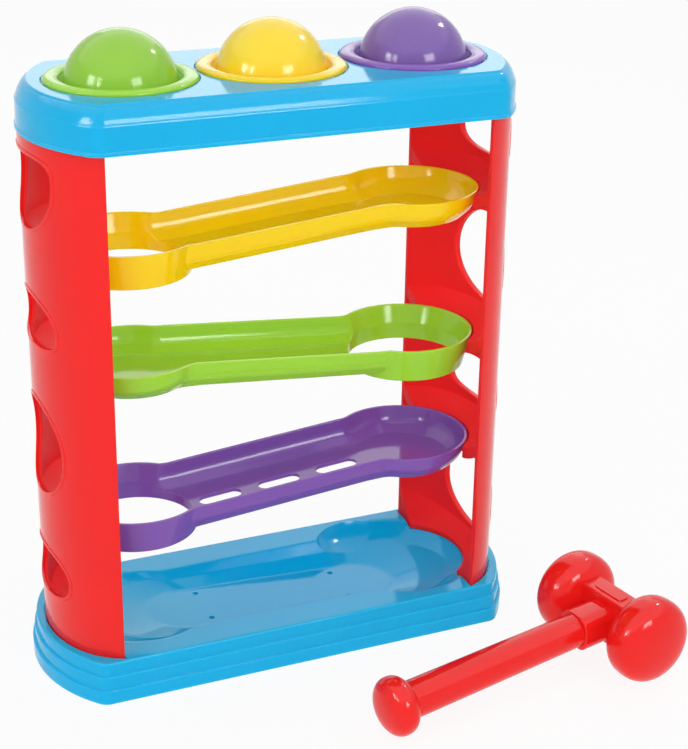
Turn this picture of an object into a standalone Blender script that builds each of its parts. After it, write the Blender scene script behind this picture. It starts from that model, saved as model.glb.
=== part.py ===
"""Ball pounding bench: a toy tower of three ramps with three balls to hammer through.

X runs along the bench, Y across it with the front at -Y, and Z up.
The origin is on the floor at the middle of the bench. Lengths are in metres.
"""

import math

import bmesh
import bpy
from mathutils import Matrix, Vector

# Driving dimensions

BALL_DIAMETER = 0.0600
BALL_WALL = 0.0022
BALL_VENT_DIAMETER = 0.0024
BALL_SINK = 0.0044

SEAT_GAP = 0.0003
OVERRUN = 0.0040
BURY = 0.0010

COLLAR_WALL = 0.0039
COLLAR_FLANGE = 0.0062
COLLAR_BEAD_HEIGHT = 0.0042
COLLAR_SPACING = 0.0023
COLLAR_DEPTH = 0.0170
COLLAR_MOUTH_FLARE = 0.0016
COLLAR_GRIP_HEIGHT = 0.0070
COLLAR_SNAP_DEPTH = 0.0009
COLLAR_SNAP_HEIGHT = 0.0020
FINGER_SLOT_WIDTH = 0.0020

RAMP_WALL = 0.0019
RAMP_PITCH = 0.0770
RAMP_LOWEST_RISE = 0.0785
RAMP_FALL = 0.0097
RING_HOLE_MARGIN = 0.0026
RING_FLARE = 0.0050
RING_HEIGHT = 0.0200
DISH_FLOOR_RADIUS = 0.0305
TROUGH_HALF_WIDTH = 0.0310
TROUGH_FLOOR_HALF_WIDTH = 0.0240
TROUGH_HEIGHT = 0.0160
NECK_BLEND_RADIUS = 0.0140
SLOT_LENGTH = 0.0260
SLOT_WIDTH = 0.0100
SLOT_PITCH = 0.0365
SLOT_OFFSET = 0.0042

LUG_WIDTH = 0.0160
LUG_THICKNESS = 0.0030
LUG_REACH = 0.0058

SHELF_CLEARANCE = 0.0011
SHELF_THICKNESS = 0.0073
SHELF_WIDTH = 0.0134
SHELF_APEX_RISE = 0.0105
SHELF_TIP_RISE = 0.0085
FOOT_APEX_RISE = 0.0080
FOOT_TIP_RISE = 0.0260
PANEL_SETBACK = 0.0244
PANEL_HALF_DEPTH = 0.0540
PANEL_BULGE = 0.0410
PANEL_WALL = 0.0030
WINDOW_RIM_WIDTH = 0.0020
WINDOW_RIM_RISE = 0.0005
HEAD_FLANGE_THICKNESS = 0.0025
TONGUE_INSET = 0.0042
TONGUE_HEIGHT = 0.0080
TONGUE_THICKNESS = 0.0032

BASE_HEIGHT = 0.0242
BASE_MARGIN = 0.0036
BASE_END_MARGIN = 0.0077
BASE_BOW_RADIUS = 0.0815
BASE_CORNER_RADIUS = 0.0080
BASE_STEP_INSET = 0.0014
BASE_EDGE_BEVEL = 0.0010
BASE_WALL = 0.0024
FOOT_RECESS_DEPTH = 0.0037
TRAY_NECK_HALF_WIDTH = 0.0345
TRAY_END_RADIUS = 0.0465
TRAY_NECK_BLEND_RADIUS = 0.0300
TRAY_FLOOR_STATION = 0.0650
TRAY_FLOOR_RADIUS = 0.0225
TRAY_FLOOR_HALF_WIDTH = 0.0215
TRAY_FLOOR_HEIGHT = 0.0132
TRAY_FALL = 0.0085
TRAY_HOLE_DIAMETER = 0.0036
TRAY_HOLE_SPACING_X = 0.0880
TRAY_HOLE_SPACING_Y = 0.0300
RIB_THICKNESS = 0.0030
BASE_BOSS_DIAMETER = 0.0160
BASE_POCKET_END = 0.0400

DECK_RISE = 0.0545
DECK_HEIGHT = 0.0244
DECK_MARGIN = 0.0046
DECK_END_MARGIN = 0.0006
DECK_BOW_RADIUS = 0.0815
DECK_CORNER_RADIUS = 0.0120
DECK_WALL = 0.0025
DECK_RECESS_DEPTH = 0.0020
DECK_RECESS_MARGIN = 0.0006
DECK_LIP_HEIGHT = 0.0018
DECK_LIP_INSET = 0.0006
DECK_BAND_HEIGHT = 0.0168
DECK_BAND_BEVEL = 0.0024
DECK_BAND_INSET = 0.0014
DECK_EDGE_RADIUS = 0.0034
DECK_RIB_DROP = 0.0070

DRUM_DIAMETER = 0.0506
DRUM_LENGTH = 0.0300
DRUM_SPACING = 0.0614
HEAD_WALL = 0.0024
WAIST_HEIGHT = 0.0308
WAIST_WIDTH = 0.0138
WAIST_CORNER_RADIUS = 0.0012
PAD_LENGTH = 0.0220
PAD_WIDTH = 0.0070
PAD_CORNER_RADIUS = 0.0015
PAD_RISE = 0.0008
SOCKET_SIZE = 0.0216
SOCKET_REACH = 0.0280
SOCKET_CORNER_RADIUS = 0.0068
HANDLE_LENGTH = 0.1522
HANDLE_DIAMETER = 0.0200
HANDLE_PLUG_DIAMETER = 0.0174
HANDLE_PLUG_LENGTH = 0.0190
HANDLE_BORE_DIAMETER = 0.0120
KNOB_DIAMETER = 0.0336
KNOB_LENGTH = 0.0191
HAMMER_CENTRE_X = 0.1661
HAMMER_CENTRE_Y = -0.1145
HAMMER_HEADING_DEGREES = 190.1

# Points closer together than this are one point
SAME_POINT = 1e-9

# Counts

RAMP_COUNT = 3
SLOT_COUNT = 3
FINGER_COUNT = 8
ROUND_SEGMENTS = 28
BOSS_SEGMENTS = 16
BORE_SEGMENTS = 20
HOLE_SEGMENTS = 12
SLOT_END_SEGMENTS = 8
FOOT_SEGMENTS = 14
DUMBBELL_END_SEGMENTS = 9
BLEND_SEGMENTS = 3
PANEL_SEGMENTS = 16
WINDOW_SEGMENTS = 20
BOW_SEGMENTS = 6
CORNER_SEGMENTS = 3
BALL_RINGS = 12
SHELF_PROFILE_STEPS = 3
BEAD_STEPS = 5
DECK_EDGE_STEPS = 2
KNOB_STEPS = 6
DRUM_STEPS = 10
CAVITY_STEPS = 6

# Sides, shares and finishes

# The side on which each ramp has its hole, from the lowest ramp up: -1 is left and 1 is right
HOLE_SIDES = (-1, 1, -1)
# Section of a trough's wall from its rim to its floor, as shares of its flare and of its depth
TROUGH_SECTION_SHARES = ((0.0, 0.0), (0.38, 0.60), (1.0, 1.0))
# Section of the landing tray from its rim to its floor, as shares of its inward travel and depth
TRAY_SECTION_SHARES = ((0.0, 0.0), (0.36, 0.55), (1.0, 1.0))
# Foot of each tier of the base, as shares of its height
BASE_TIER_SHARES = (0.0, 1 / 3, 2 / 3)
# How far the underside of a collar's bead lies inside its edge, as a share of the bead's height
BEAD_UNDERCUT_SHARE = 0.25
# How sharply a shelf turns up towards the wall, and how square the drums and the knob are
SHELF_POWER = 1.4
DRUM_POWER = 0.77
KNOB_POWER = 0.55
# Windows in each side panel from the lowest bay up: bottom, widest line and top, as shares
# of the bay's height, half the width as a share of half the panel's depth, then the
# squareness of the lower and of the upper half
LEFT_WINDOW_SHARES = (
    (0.335, 0.510, 0.710, 0.53, 2.4, 2.3),
    (0.155, 0.455, 0.780, 0.53, 2.1, 2.1),
    (0.215, 0.365, 0.620, 0.53, 3.2, 2.1),
    (0.180, 0.650, 0.855, 0.565, 2.1, 4.0),
)
RIGHT_WINDOW_SHARES = (
    (0.112, 0.430, 0.670, 0.510, 2.1, 3.0),
    (0.193, 0.370, 0.580, 0.504, 3.0, 2.6),
    (0.128, 0.435, 0.745, 0.504, 2.1, 2.1),
    (0.250, 0.560, 0.827, 0.504, 3.0, 4.0),
)

PLASTIC_ROUGHNESS = 0.25
SMOOTH_ANGLE_DEGREES = 35

# Values that follow from them

BALL_RADIUS = BALL_DIAMETER / 2
GRIP_RADIUS = BALL_RADIUS + SEAT_GAP
COLLAR_NECK_RADIUS = GRIP_RADIUS + COLLAR_WALL
COLLAR_RADIUS = COLLAR_NECK_RADIUS + COLLAR_FLANGE
STATION = 2 * COLLAR_RADIUS + COLLAR_SPACING

RING_HOLE_RADIUS = BALL_RADIUS + RING_HOLE_MARGIN
RING_FOOT_RADIUS = RING_HOLE_RADIUS + RAMP_WALL
RING_RADIUS = RING_FOOT_RADIUS + RING_FLARE

SHELF_RADIUS = RING_RADIUS + SHELF_CLEARANCE
PANEL_FACE_X = STATION + PANEL_SETBACK
PANEL_APEX_X = STATION + SHELF_RADIUS + SHELF_WIDTH
PANEL_CENTRE_X = PANEL_APEX_X - PANEL_BULGE

RAMP_RIMS = [BASE_HEIGHT + RAMP_LOWEST_RISE + level * RAMP_PITCH for level in range(RAMP_COUNT)]
DECK_BOTTOM = RAMP_RIMS[-1] + DECK_RISE
DECK_TOP = DECK_BOTTOM + DECK_HEIGHT
COLLAR_SEAT = DECK_TOP - DECK_RECESS_DEPTH + SEAT_GAP
COLLAR_TOP = COLLAR_SEAT + COLLAR_BEAD_HEIGHT
BALL_CENTRE = DECK_TOP - BALL_SINK

BASE_TOP_INSET = (len(BASE_TIER_SHARES) - 1) * BASE_STEP_INSET + BASE_EDGE_BEVEL
FOOT_SEAT = BASE_HEIGHT - FOOT_RECESS_DEPTH + SEAT_GAP
HEAD_TOP = DECK_BOTTOM - SEAT_GAP

BASE_HALF_DEPTH = PANEL_HALF_DEPTH + BASE_MARGIN
BASE_APEX = PANEL_APEX_X + BASE_END_MARGIN
DECK_HALF_DEPTH = PANEL_HALF_DEPTH + DECK_MARGIN
DECK_APEX = PANEL_APEX_X + DECK_END_MARGIN

RED = ("red_plastic", (0.86, 0.03, 0.03))
BLUE = ("sky_blue_plastic", (0.05, 0.52, 0.86))
YELLOW = ("yellow_plastic", (0.98, 0.70, 0.02))
GREEN = ("green_plastic", (0.36, 0.72, 0.05))
PURPLE = ("purple_plastic", (0.26, 0.11, 0.50))


def clear_scene():
    """Remove what the file already holds."""
    for item in list(bpy.data.objects):
        bpy.data.objects.remove(item)


def plastic(name, colour):
    """Glossy moulded plastic of one colour."""
    material = bpy.data.materials.new(name)
    material.use_nodes = True
    shader = material.node_tree.nodes["Principled BSDF"]
    shader.inputs["Base Color"].default_value = (*colour, 1.0)
    shader.inputs["Roughness"].default_value = PLASTIC_ROUGHNESS
    shader.inputs["Metallic"].default_value = 0.0
    return material


def solid_object(name, points, faces):
    """Object from points and faces, with its faces turned outwards."""
    mesh = bpy.data.meshes.new(name)
    mesh.from_pydata([tuple(point) for point in points], [], faces)
    shape = bmesh.new()
    shape.from_mesh(mesh)
    bmesh.ops.recalc_face_normals(shape, faces=shape.faces)
    shape.to_mesh(mesh)
    shape.free()
    item = bpy.data.objects.new(name, mesh)
    bpy.context.scene.collection.objects.link(item)
    return item


def loft(name, rings):
    """Solid through rings of equally many points, closed by a flat cap at each end."""
    count = len(rings[0])
    points = [point for ring in rings for point in ring]
    faces = []
    for level in range(len(rings) - 1):
        low = level * count
        for i in range(count):
            j = (i + 1) % count
            faces.append((low + i, low + j, low + count + j, low + count + i))
    faces.append(tuple(range(count)))
    faces.append(tuple(range(len(points) - count, len(points))))
    return solid_object(name, points, faces)


def prism(name, outline, low, high):
    """Solid between two heights over an outline in plan."""
    return loft(name, [[(x, y, z) for x, y in outline] for z in (low, high)])


def turned_ring(name, profile, segments=ROUND_SEGMENTS):
    """Ring turned about Z from a closed profile of (radius, height) that stays off the axis."""
    count = len(profile)
    points = []
    for step in range(segments):
        angle = math.tau * step / segments
        for radius, height in profile:
            points.append((radius * math.cos(angle), radius * math.sin(angle), height))
    faces = []
    for step in range(segments):
        here = step * count
        there = ((step + 1) % segments) * count
        for i in range(count):
            j = (i + 1) % count
            faces.append((here + i, there + i, there + j, here + j))
    return solid_object(name, points, faces)


def turned_solid(name, profile, segments=ROUND_SEGMENTS):
    """Solid turned about Z from an open profile whose ends meet the axis through flat caps."""
    rings = []
    for radius, height in profile:
        ring = []
        for step in range(segments):
            angle = math.tau * step / segments
            ring.append((radius * math.cos(angle), radius * math.sin(angle), height))
        rings.append(ring)
    return loft(name, rings)


def combine(body, tool, operation):
    """Cut, join or clip a body with a tool by an exact Boolean, and drop the tool."""
    change = body.modifiers.new(operation, "BOOLEAN")
    change.operation = operation
    change.solver = "EXACT"
    change.object = tool
    bpy.context.view_layer.update()
    graph = bpy.context.evaluated_depsgraph_get()
    mesh = bpy.data.meshes.new_from_object(body.evaluated_get(graph))
    body.modifiers.remove(change)
    body.data = mesh
    bpy.data.objects.remove(tool)


def cut(body, tool):
    """Take the tool's shape out of the body."""
    combine(body, tool, "DIFFERENCE")


def join(body, tool):
    """Fuse the tool's shape with the body."""
    combine(body, tool, "UNION")


def shift(item, offset):
    """Move an object's mesh by an offset."""
    item.data.transform(Matrix.Translation(Vector(offset)))
    return item


def finish(item, material, pivot=(0.0, 0.0, 0.0)):
    """Give a piece its material, its origin and its shading."""
    item.data.materials.clear()
    item.data.materials.append(material)
    item.data.transform(Matrix.Translation(-Vector(pivot)))
    item.location = pivot
    item.data.shade_smooth()
    item.data.set_sharp_from_angle(angle=math.radians(SMOOTH_ANGLE_DEGREES))
    return item


def arc(centre, radius, start, end, segments):
    """Points along an arc, both ends included."""
    points = []
    for step in range(segments + 1):
        angle = start + (end - start) * step / segments
        points.append((centre[0] + radius * math.cos(angle), centre[1] + radius * math.sin(angle)))
    return points


def four_corners(quarter):
    """Closed outline from its first quarter, which runs from the +X side to the +Y side."""
    outline = list(quarter)
    outline += [(-x, y) for x, y in reversed(quarter)]
    outline += [(-x, -y) for x, y in quarter]
    outline += [(x, -y) for x, y in reversed(quarter)]
    merged = []
    for point in outline:
        if not merged or math.dist(point, merged[-1]) > SAME_POINT:
            merged.append(point)
    if math.dist(merged[0], merged[-1]) < SAME_POINT:
        merged.pop()
    return merged


def bowed_quarter(half_depth, apex, bow_radius, corner_radius, inset):
    """First quarter of an outline with straight front and back, bowed ends and rounded corners."""
    bow_x = apex - bow_radius
    reach = bow_radius - corner_radius
    corner_y = half_depth - corner_radius
    corner_x = bow_x + math.sqrt(reach**2 - corner_y**2)
    turn = math.atan2(corner_y, corner_x - bow_x)
    quarter = arc((bow_x, 0.0), bow_radius - inset, 0.0, turn, BOW_SEGMENTS)
    corner = (corner_x, corner_y)
    quarter += arc(corner, corner_radius - inset, turn, math.pi / 2, CORNER_SEGMENTS)[1:]
    return quarter


def bowed_outline(half_depth, apex, bow_radius, corner_radius, inset=0.0):
    """Closed outline with straight front and back, bowed ends and rounded corners."""
    return four_corners(bowed_quarter(half_depth, apex, bow_radius, corner_radius, inset))


def dumbbell_quarter(station, end_radius, neck_half_width, blend_radius):
    """First quarter of a dumbbell in plan: round end, hollow blend and half of the neck."""
    reach = end_radius + blend_radius
    rise = neck_half_width + blend_radius
    run = math.sqrt(reach**2 - rise**2)
    turn = math.pi - math.atan2(rise, run)
    blend = (station - run, rise)
    points = arc((station, 0.0), end_radius, 0.0, turn, DUMBBELL_END_SEGMENTS)
    points += arc(blend, blend_radius, turn - math.pi, -math.pi / 2, BLEND_SEGMENTS)[1:]
    points.append((0.0, neck_half_width))
    return points


def dumbbell(station, left_radius, right_radius, neck_half_width, blend_radius):
    """Closed outline of a dumbbell whose two ends may differ."""
    right = dumbbell_quarter(station, right_radius, neck_half_width, blend_radius)
    left = dumbbell_quarter(station, left_radius, neck_half_width, blend_radius)
    outline = list(right)
    outline += [(-x, y) for x, y in reversed(left[:-1])]
    outline += [(-x, -y) for x, y in left[1:]]
    outline += [(x, -y) for x, y in reversed(right[1:-1])]
    return outline


def across(outline):
    """Faces of a surface over an outline that mirrors about Y = 0, as strips from front to back."""
    count = len(outline)
    pairs = [(i, (count - i) % count) for i in range(count // 2 + 1)]
    faces = []
    for (a, b), (c, d) in zip(pairs, pairs[1:]):
        faces.append(tuple(dict.fromkeys((a, c, d, b))))
    return faces


def strip_loft(name, rows):
    """Solid through rows of points that mirror about Y = 0, capped by strips from front to back."""
    count = len(rows[0])
    points = [point for row in rows for point in row]
    faces = []
    for level in range(len(rows) - 1):
        low = level * count
        for i in range(count):
            j = (i + 1) % count
            faces.append((low + i, low + j, low + count + j, low + count + i))
    for low in (0, len(points) - count):
        for face in across(rows[0]):
            faces.append(tuple(low + i for i in face))
    return solid_object(name, points, faces)


def ball(name, station_x, material):
    """Hollow ball with a small vent hole at its lowest point."""
    inner_radius = BALL_RADIUS - BALL_WALL
    vent = BALL_VENT_DIAMETER / 2
    profile = []
    outer_start = math.asin(vent / BALL_RADIUS)
    for step in range(BALL_RINGS + 1):
        polar = outer_start + (math.pi - outer_start) * step / BALL_RINGS
        profile.append((BALL_RADIUS * math.sin(polar), -BALL_RADIUS * math.cos(polar)))
    inner_start = math.asin(vent / inner_radius)
    inner_rings = BALL_RINGS // 2
    inside = []
    for step in range(inner_rings + 1):
        polar = inner_start + (math.pi - inner_start) * step / inner_rings
        inside.append((inner_radius * math.sin(polar), -inner_radius * math.cos(polar)))
    item = closed_shell(name, profile, inside)
    shift(item, (station_x, 0.0, BALL_CENTRE))
    return finish(item, material, pivot=(station_x, 0.0, BALL_CENTRE))


def closed_shell(name, outer, inner):
    """Shell turned about Z between two profiles that start at an opening and end on the axis."""
    points = []
    tracks = []
    for profile in (outer, inner):
        rings = []
        for radius, height in profile[:-1]:
            start = len(points)
            for step in range(ROUND_SEGMENTS):
                angle = math.tau * step / ROUND_SEGMENTS
                points.append((radius * math.cos(angle), radius * math.sin(angle), height))
            rings.append(start)
        points.append((0.0, 0.0, profile[-1][1]))
        tracks.append((rings, len(points) - 1))
    faces = []
    for rings, pole in tracks:
        for low, high in zip(rings, rings[1:]):
            faces += strip(low, high)
        for step in range(ROUND_SEGMENTS):
            faces.append((rings[-1] + step, rings[-1] + (step + 1) % ROUND_SEGMENTS, pole))
    faces += strip(tracks[0][0][0], tracks[1][0][0])
    return solid_object(name, points, faces)


def strip(low, high):
    """Faces between two turned rings that start at the given point numbers."""
    faces = []
    for step in range(ROUND_SEGMENTS):
        other = (step + 1) % ROUND_SEGMENTS
        faces.append((low + step, low + other, high + other, high + step))
    return faces


def collar(name, station_x, material):
    """Snap-in ring with a rounded bead on top and a crown of fingers that grips the ball."""
    bottom = COLLAR_SEAT - COLLAR_DEPTH
    grip_top = BALL_CENTRE + COLLAR_GRIP_HEIGHT / 2
    grip_bottom = BALL_CENTRE - COLLAR_GRIP_HEIGHT
    snap_top = COLLAR_SEAT - SEAT_GAP - DECK_WALL - SEAT_GAP
    snap_radius = COLLAR_NECK_RADIUS + COLLAR_SNAP_DEPTH
    mouth_radius = GRIP_RADIUS + COLLAR_MOUTH_FLARE
    bead_centre = (COLLAR_RADIUS + mouth_radius) / 2
    bead_half_width = (COLLAR_RADIUS - mouth_radius) / 2
    bead_top = []
    for step in range(BEAD_STEPS + 1):
        angle = math.pi * step / BEAD_STEPS
        radius = bead_centre + bead_half_width * math.cos(angle)
        height = COLLAR_TOP - COLLAR_BEAD_HEIGHT / 2 + COLLAR_BEAD_HEIGHT / 2 * math.sin(angle)
        bead_top.append((radius, height))
    profile = [(COLLAR_RADIUS - BEAD_UNDERCUT_SHARE * COLLAR_BEAD_HEIGHT, COLLAR_SEAT)]
    profile += bead_top
    profile += [
        (GRIP_RADIUS, grip_top),
        (GRIP_RADIUS, grip_bottom),
        (mouth_radius, bottom),
        (COLLAR_NECK_RADIUS, bottom),
        (COLLAR_NECK_RADIUS, snap_top - COLLAR_SNAP_HEIGHT),
        (snap_radius, snap_top - COLLAR_SNAP_HEIGHT / 2),
        (snap_radius, snap_top),
        (COLLAR_NECK_RADIUS, snap_top),
        (COLLAR_NECK_RADIUS, COLLAR_SEAT),
    ]
    item = turned_ring(name, profile)
    corners = rectangle(COLLAR_RADIUS, FINGER_SLOT_WIDTH / 2)
    for step in range(FINGER_COUNT // 2):
        slot = prism("slot", corners, bottom - OVERRUN, snap_top + SEAT_GAP)
        slot.data.transform(Matrix.Rotation(math.tau * (step + 0.5) / FINGER_COUNT, 4, "Z"))
        cut(item, slot)
    shift(item, (station_x, 0.0, 0.0))
    return finish(item, material)


def rectangle(half_x, half_y):
    """Outline of a rectangle about the origin."""
    return [(-half_x, -half_y), (half_x, -half_y), (half_x, half_y), (-half_x, half_y)]


def rim_height(x, level, fall_side):
    """Height of a ramp's rim: level round each end and sloping between the two rings."""
    reach = RING_RADIUS + NECK_BLEND_RADIUS
    rise = TROUGH_HALF_WIDTH + NECK_BLEND_RADIUS
    neck_end = STATION - math.sqrt(reach**2 - rise**2)
    along = max(-1.0, min(1.0, x / neck_end))
    return RAMP_RIMS[level] - fall_side * along * RAMP_FALL / 2


def channel(name, level, hole_side, shrink, lid):
    """Body of a ramp's trough in rows from rim to floor, with a lid above the rim if asked."""
    rows = []
    for flare_share, depth_share in TROUGH_SECTION_SHARES:
        dish_end = RING_RADIUS - flare_share * (RING_RADIUS - DISH_FLOOR_RADIUS) - shrink
        neck = TROUGH_HALF_WIDTH - flare_share * (TROUGH_HALF_WIDTH - TROUGH_FLOOR_HALF_WIDTH) - shrink
        hole_end = cone_radius(depth_share * TROUGH_HEIGHT) - RAMP_WALL / 2 - shrink
        ends = (dish_end, hole_end) if hole_side > 0 else (hole_end, dish_end)
        outline = dumbbell(STATION, ends[0], ends[1], neck, NECK_BLEND_RADIUS)
        depth = depth_share * (TROUGH_HEIGHT - shrink)
        rows.append([(x, y, rim_height(x, level, hole_side) - depth) for x, y in outline])
    if lid:
        rows.insert(0, [(x, y, z + OVERRUN) for x, y, z in rows[0]])
    return strip_loft(name, rows)


def cone_radius(depth):
    """Outer radius of the ring round the hole at a depth below its rim."""
    return RING_RADIUS - depth / RING_HEIGHT * (RING_RADIUS - RING_FOOT_RADIUS)


def ramp(name, level, hole_side, material):
    """Trough between a ring with a hole, on the low side, and a closed dish on the high side."""
    item = channel(name, level, hole_side, 0.0, False)
    centre = (hole_side * STATION, 0.0, rim_height(hole_side * STATION, level, hole_side))
    cone = turned_solid("cone", [(RING_FOOT_RADIUS, -RING_HEIGHT), (RING_RADIUS, 0.0)])
    join(item, shift(cone, centre))
    cut(item, channel("inside", level, hole_side, RAMP_WALL, True))
    past = cone_radius(RING_HEIGHT + OVERRUN) - RAMP_WALL
    above = cone_radius(-OVERRUN) - RAMP_WALL
    hole = turned_solid("hole", [(past, -RING_HEIGHT - OVERRUN), (above, OVERRUN)])
    cut(item, shift(hole, centre))
    for side in (-1, 1):
        join(item, lug(side, rim_height(side * STATION, level, hole_side)))
    return finish(item, material)


def lug(side, rim):
    """Flat lug on a ramp's tip that plugs into the slot in the side panel's shelf."""
    middle = rim - SHELF_THICKNESS / 2
    inner = STATION + RING_RADIUS - RAMP_WALL
    outer = STATION + SHELF_RADIUS + LUG_REACH
    corners = rectangle((outer - inner) / 2, LUG_WIDTH / 2)
    item = prism("lug", corners, middle - LUG_THICKNESS / 2, middle + LUG_THICKNESS / 2)
    return shift(item, (side * (outer + inner) / 2, 0.0, 0.0))


def cut_drain_slots(item, level, hole_side):
    """Cut the row of long round-ended slots in the floor of the lowest ramp."""
    radius = SLOT_WIDTH / 2
    straight = SLOT_LENGTH / 2 - radius
    for step in range(SLOT_COUNT):
        centre_x = SLOT_OFFSET + (step - (SLOT_COUNT - 1) / 2) * SLOT_PITCH
        right, left = (centre_x + straight, 0.0), (centre_x - straight, 0.0)
        outline = arc(right, radius, -math.pi / 2, math.pi / 2, SLOT_END_SEGMENTS)
        outline += arc(left, radius, math.pi / 2, 3 * math.pi / 2, SLOT_END_SEGMENTS)
        rim = rim_height(centre_x, level, hole_side)
        cut(item, prism("slot", outline, rim - TROUGH_HEIGHT - OVERRUN, rim - RAMP_WALL))


def shelf_heights(side):
    """Rim heights that a side panel carries, from the lowest ramp up."""
    return [rim_height(side * STATION, level, hole) for level, hole in enumerate(HOLE_SIDES)]


def panel_reach(angle, inset):
    """Distance from the ring's centre to the panel's oval wall, along an angle in plan."""
    across_half = PANEL_HALF_DEPTH - inset
    along_half = PANEL_BULGE - inset
    offset = PANEL_CENTRE_X - STATION
    cosine = math.cos(angle) / along_half
    sine = math.sin(angle) / across_half
    a = cosine**2 + sine**2
    b = -2 * cosine * offset / along_half
    c = (offset / along_half) ** 2 - 1
    return (-b + math.sqrt(b * b - 4 * a * c)) / (2 * a)


def flange_angle(inset, face_x=None):
    """Angle in plan at which the panel's oval wall meets its flat inner face."""
    run = (face_x if face_x is not None else PANEL_FACE_X) - PANEL_CENTRE_X
    half = (PANEL_HALF_DEPTH - inset) * math.sqrt(1 - (run / (PANEL_BULGE - inset)) ** 2)
    return math.atan2(half, PANEL_CENTRE_X + run - STATION)


def oval_points(inset, face_x, segments=PANEL_SEGMENTS):
    """Points along the panel's oval wall, from its front edge to its back edge, for side +1."""
    limit = flange_angle(inset, face_x)
    points = []
    for step in range(segments + 1):
        angle = -limit + 2 * limit * step / segments
        reach = panel_reach(angle, inset)
        points.append((STATION + reach * math.cos(angle), reach * math.sin(angle)))
    return points


def ring_sector(outer_inset, inner_radius, face_x):
    """Outline of the panel's foot in plan: oval outside, round inside, flat at the two tips."""
    outline = oval_points(outer_inset, face_x)
    limit = math.acos((face_x - STATION) / inner_radius)
    return outline + arc((STATION, 0.0), inner_radius, limit, -limit, FOOT_SEGMENTS)


def scooped_shelf(rim, apex_rise, tip_rise, lowest):
    """Shelf that curves up from its round inner edge to the wall, and stays above a lowest level."""
    limit = flange_angle(PANEL_WALL / 2)
    rows = []
    for step in range(PANEL_SEGMENTS + 1):
        angle = -limit + 2 * limit * step / PANEL_SEGMENTS
        near = max(SHELF_RADIUS, PANEL_SETBACK / math.cos(angle))
        far = panel_reach(angle, PANEL_WALL / 2)
        rise = apex_rise + (tip_rise - apex_rise) * (angle / limit) ** 2
        row = []
        for rank in range(SHELF_PROFILE_STEPS + 1):
            reach = near + (far + BURY / 2 - near) * rank / SHELF_PROFILE_STEPS
            lift = rise * ((reach - SHELF_RADIUS) / (far + BURY / 2 - SHELF_RADIUS)) ** SHELF_POWER
            row.append((STATION + reach * math.cos(angle), reach * math.sin(angle), rim + lift))
        under = [(x, y, max(z - SHELF_THICKNESS, lowest)) for x, y, z in reversed(row)]
        if lowest == FOOT_SEAT:
            under = [(x, y, lowest) for x, y, _ in under]
        rows.append(row + under)
    return loft("shelf", rows)


def window_outline(place, margin):
    """Outline in Y and Z of a window that may be squarer below or above its widest line."""
    bottom, widest, top, half_width, low_power, high_power = place
    outline = []
    for step in range(WINDOW_SEGMENTS):
        angle = math.tau * step / WINDOW_SEGMENTS
        cosine = math.cos(angle)
        sine = math.sin(angle)
        power = high_power if sine > 0 else low_power
        height = (top - widest) if sine > 0 else (widest - bottom)
        y = math.copysign(abs(cosine) ** (2 / power), cosine) * (half_width + margin)
        z = widest + math.copysign(abs(sine) ** (2 / power), sine) * (height + margin)
        outline.append((y, z))
    return outline


def side_panel(name, side, material):
    """Curved wall with a foot, a head, a shelf for each ramp and a window in each bay."""
    outer = oval_points(0.0, PANEL_FACE_X)
    inner = oval_points(PANEL_WALL, PANEL_FACE_X)
    item = prism(name, outer + inner[::-1], FOOT_SEAT, HEAD_TOP)
    places = window_places(side)
    for place in places:
        join(item, window_rim(place, inner))
    rims = shelf_heights(side)
    for rim in rims:
        join(item, scooped_shelf(rim, SHELF_APEX_RISE, SHELF_TIP_RISE, 0.0))
    join(item, scooped_shelf(BASE_HEIGHT, FOOT_APEX_RISE, FOOT_TIP_RISE, FOOT_SEAT))
    flange = oval_points(PANEL_WALL / 2, PANEL_FACE_X)
    flange += oval_points(TONGUE_INSET + TONGUE_THICKNESS, PANEL_FACE_X)[::-1]
    join(item, prism("head", flange, HEAD_TOP - HEAD_FLANGE_THICKNESS, HEAD_TOP))
    tongue = tongue_outline(0.0)
    join(item, prism("tongue", tongue, FOOT_SEAT - TONGUE_HEIGHT, FOOT_SEAT + BURY))
    join(item, prism("tongue", tongue, HEAD_TOP - BURY, HEAD_TOP + TONGUE_HEIGHT))
    for place in places:
        cut(item, window_tool(place, 0.0))
    for rim in rims:
        cut(item, lug_slot(rim))
    if side < 0:
        item.data.transform(Matrix.Rotation(math.pi, 4, "Z"))
    return finish(item, material)


def window_rim(place, inner):
    """Raised band round a window, which stands proud of the panel's wall."""
    proud = oval_points(-WINDOW_RIM_RISE, PANEL_FACE_X)
    item = window_tool(place, WINDOW_RIM_WIDTH)
    combine(item, prism("sleeve", proud + inner[::-1], FOOT_SEAT + BURY, HEAD_TOP - BURY), "INTERSECT")
    return item


def window_tool(place, margin):
    """Bar along X with a window's outline, through the panel's wall."""
    outline = window_outline(place, margin)
    near = [(PANEL_FACE_X + 2 * PANEL_WALL, y, z) for y, z in outline]
    far = [(PANEL_APEX_X + OVERRUN, y, z) for y, z in outline]
    return loft("window", [near, far])


def window_places(side):
    """Bottom, widest line, top, half width and squareness of each window in a side panel."""
    floors = [BASE_HEIGHT, *shelf_heights(side), DECK_BOTTOM]
    shares = LEFT_WINDOW_SHARES if side < 0 else RIGHT_WINDOW_SHARES
    places = []
    for low, high, share in zip(floors, floors[1:], shares):
        bay = high - low
        heights = [low + part * bay for part in share[:3]]
        places.append((*heights, share[3] * PANEL_HALF_DEPTH, share[4], share[5]))
    return places


def tongue_outline(clearance):
    """Outline in plan of the tongue above and below a side panel, or of its groove."""
    outer_inset = TONGUE_INSET - clearance
    face_x = PANEL_FACE_X + TONGUE_INSET - clearance
    outline = oval_points(outer_inset, face_x)
    inner = oval_points(outer_inset + TONGUE_THICKNESS + 2 * clearance, face_x)
    return outline + inner[::-1]


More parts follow.
